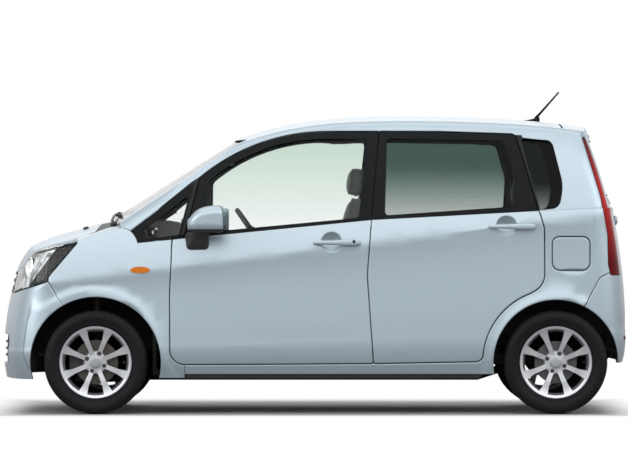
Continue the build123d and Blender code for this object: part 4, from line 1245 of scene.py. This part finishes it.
vents = []
for y in dash["vents"]:
    for middle, reach, width, height in ventBars:
        spot = onDash(y, dash["ventHeight"]) + Vector(middle)
        up = Vector((1, 0, 0)) if reach[2] else Vector((0, 0, 1))
        vents.append(sweep([spot - Vector(reach), spot, spot + Vector(reach)], width, height, up))
newPiece("dashVents", *joined(vents), "body_shell", "dash", "bezel")
spot = onDash(0.0, dash["screenHeight"]) + Vector((0.002, 0, 0))
screen = moved(softBox(dash["screen"], 0.004), spot, (0, dash["screenPitch"], 0))
newPiece("dashScreen", *screen, "body_shell", "dash", "bezel")
knob = ringStack(dash["knob"], 28)
knobs = [aimed(knob, onDash(y, dash["knobHeight"]), (0.96, 0, 0.28)) for y in dash["knobs"]]
newPiece("dashKnobs", *joined(knobs), "body_shell", "dash", "bezel")
leverFoot = spotOn(["dashboard"], (dash["leverX"], 0.0, 1.2), (0, 0, -1))
boot = aimed(ringStack(dash["boot"], 24), leverFoot, (0, 0, 1))
stick = aimed(ringStack(dash["stick"], 14), leverFoot, (0.12, 0, 1))
grip = aimed(ringStack(dash["grip"], 24), leverFoot, (0.12, 0, 1))
newPiece("gearLever", *joined([boot, stick, grip]), "body_shell", "dash", "bezel")

# inside mirror on the windscreen
insideMirror = {"height": 1.400, "size": (0.030, 0.220, 0.062), "place": (0.075, 0, -0.030), "pitch": 8,
                "stalk": [(0.004, 0, 0.006), (0.035, 0, 0.0), (0.066, 0, -0.022)], "section": (0.018, 0.014)}
glassSpot = spotOn(["windscreen"], (0.2, 0.0, insideMirror["height"]), (-1, 0, 0))
mirrorPlace = glassSpot + Vector(insideMirror["place"])
mirrorBody = moved(softBox(insideMirror["size"], 0.014, 4), mirrorPlace, (0, insideMirror["pitch"], 0))
stalk = sweep([glassSpot + Vector(step) for step in insideMirror["stalk"]], *insideMirror["section"])
newPiece("insideMirror", *joined([mirrorBody, stalk]), "body_shell", "black_trim", "bezel")

# door pulls: an arm rest and a lever on each door's lining
doorPull = {"restRise": 0.03, "restStand": 0.014, "rest": (0.044, 0.050), "lever": (0.085, 0.014, 0.030),
            "leverAhead": 0.35, "leverOver": 0.125, "leverStand": 0.006}
doorPulls = [
    # door, middle x, height, length
    ("front_door", -0.20, 0.700, 0.40), ("rear_door", 0.66, 0.730, 0.34),
]
for door, x, z, length in doorPulls:
    for side, sign in sides.items():
        body = f"{door}_{side}"
        front, rear = (x - length / 2, 0, z), (x + length / 2, 0, z + doorPull["restRise"])
        line = lineOn([body], front, rear, 9, (0, sign, 0), (0, -sign * doorPull["restStand"], 0))
        start = (x - length * doorPull["leverAhead"], 0, z + doorPull["leverOver"])
        spot = spotOn([body], start, (0, sign, 0)) - Vector((0, sign * doorPull["leverStand"], 0))
        lever = moved(softBox(doorPull["lever"], 0.006), spot)
        pull = joined([sweep(line, *doorPull["rest"]), lever])
        newPiece(f"doorPull_{body}", *pull, body, "dash", "dash")
print("cabin fitted")
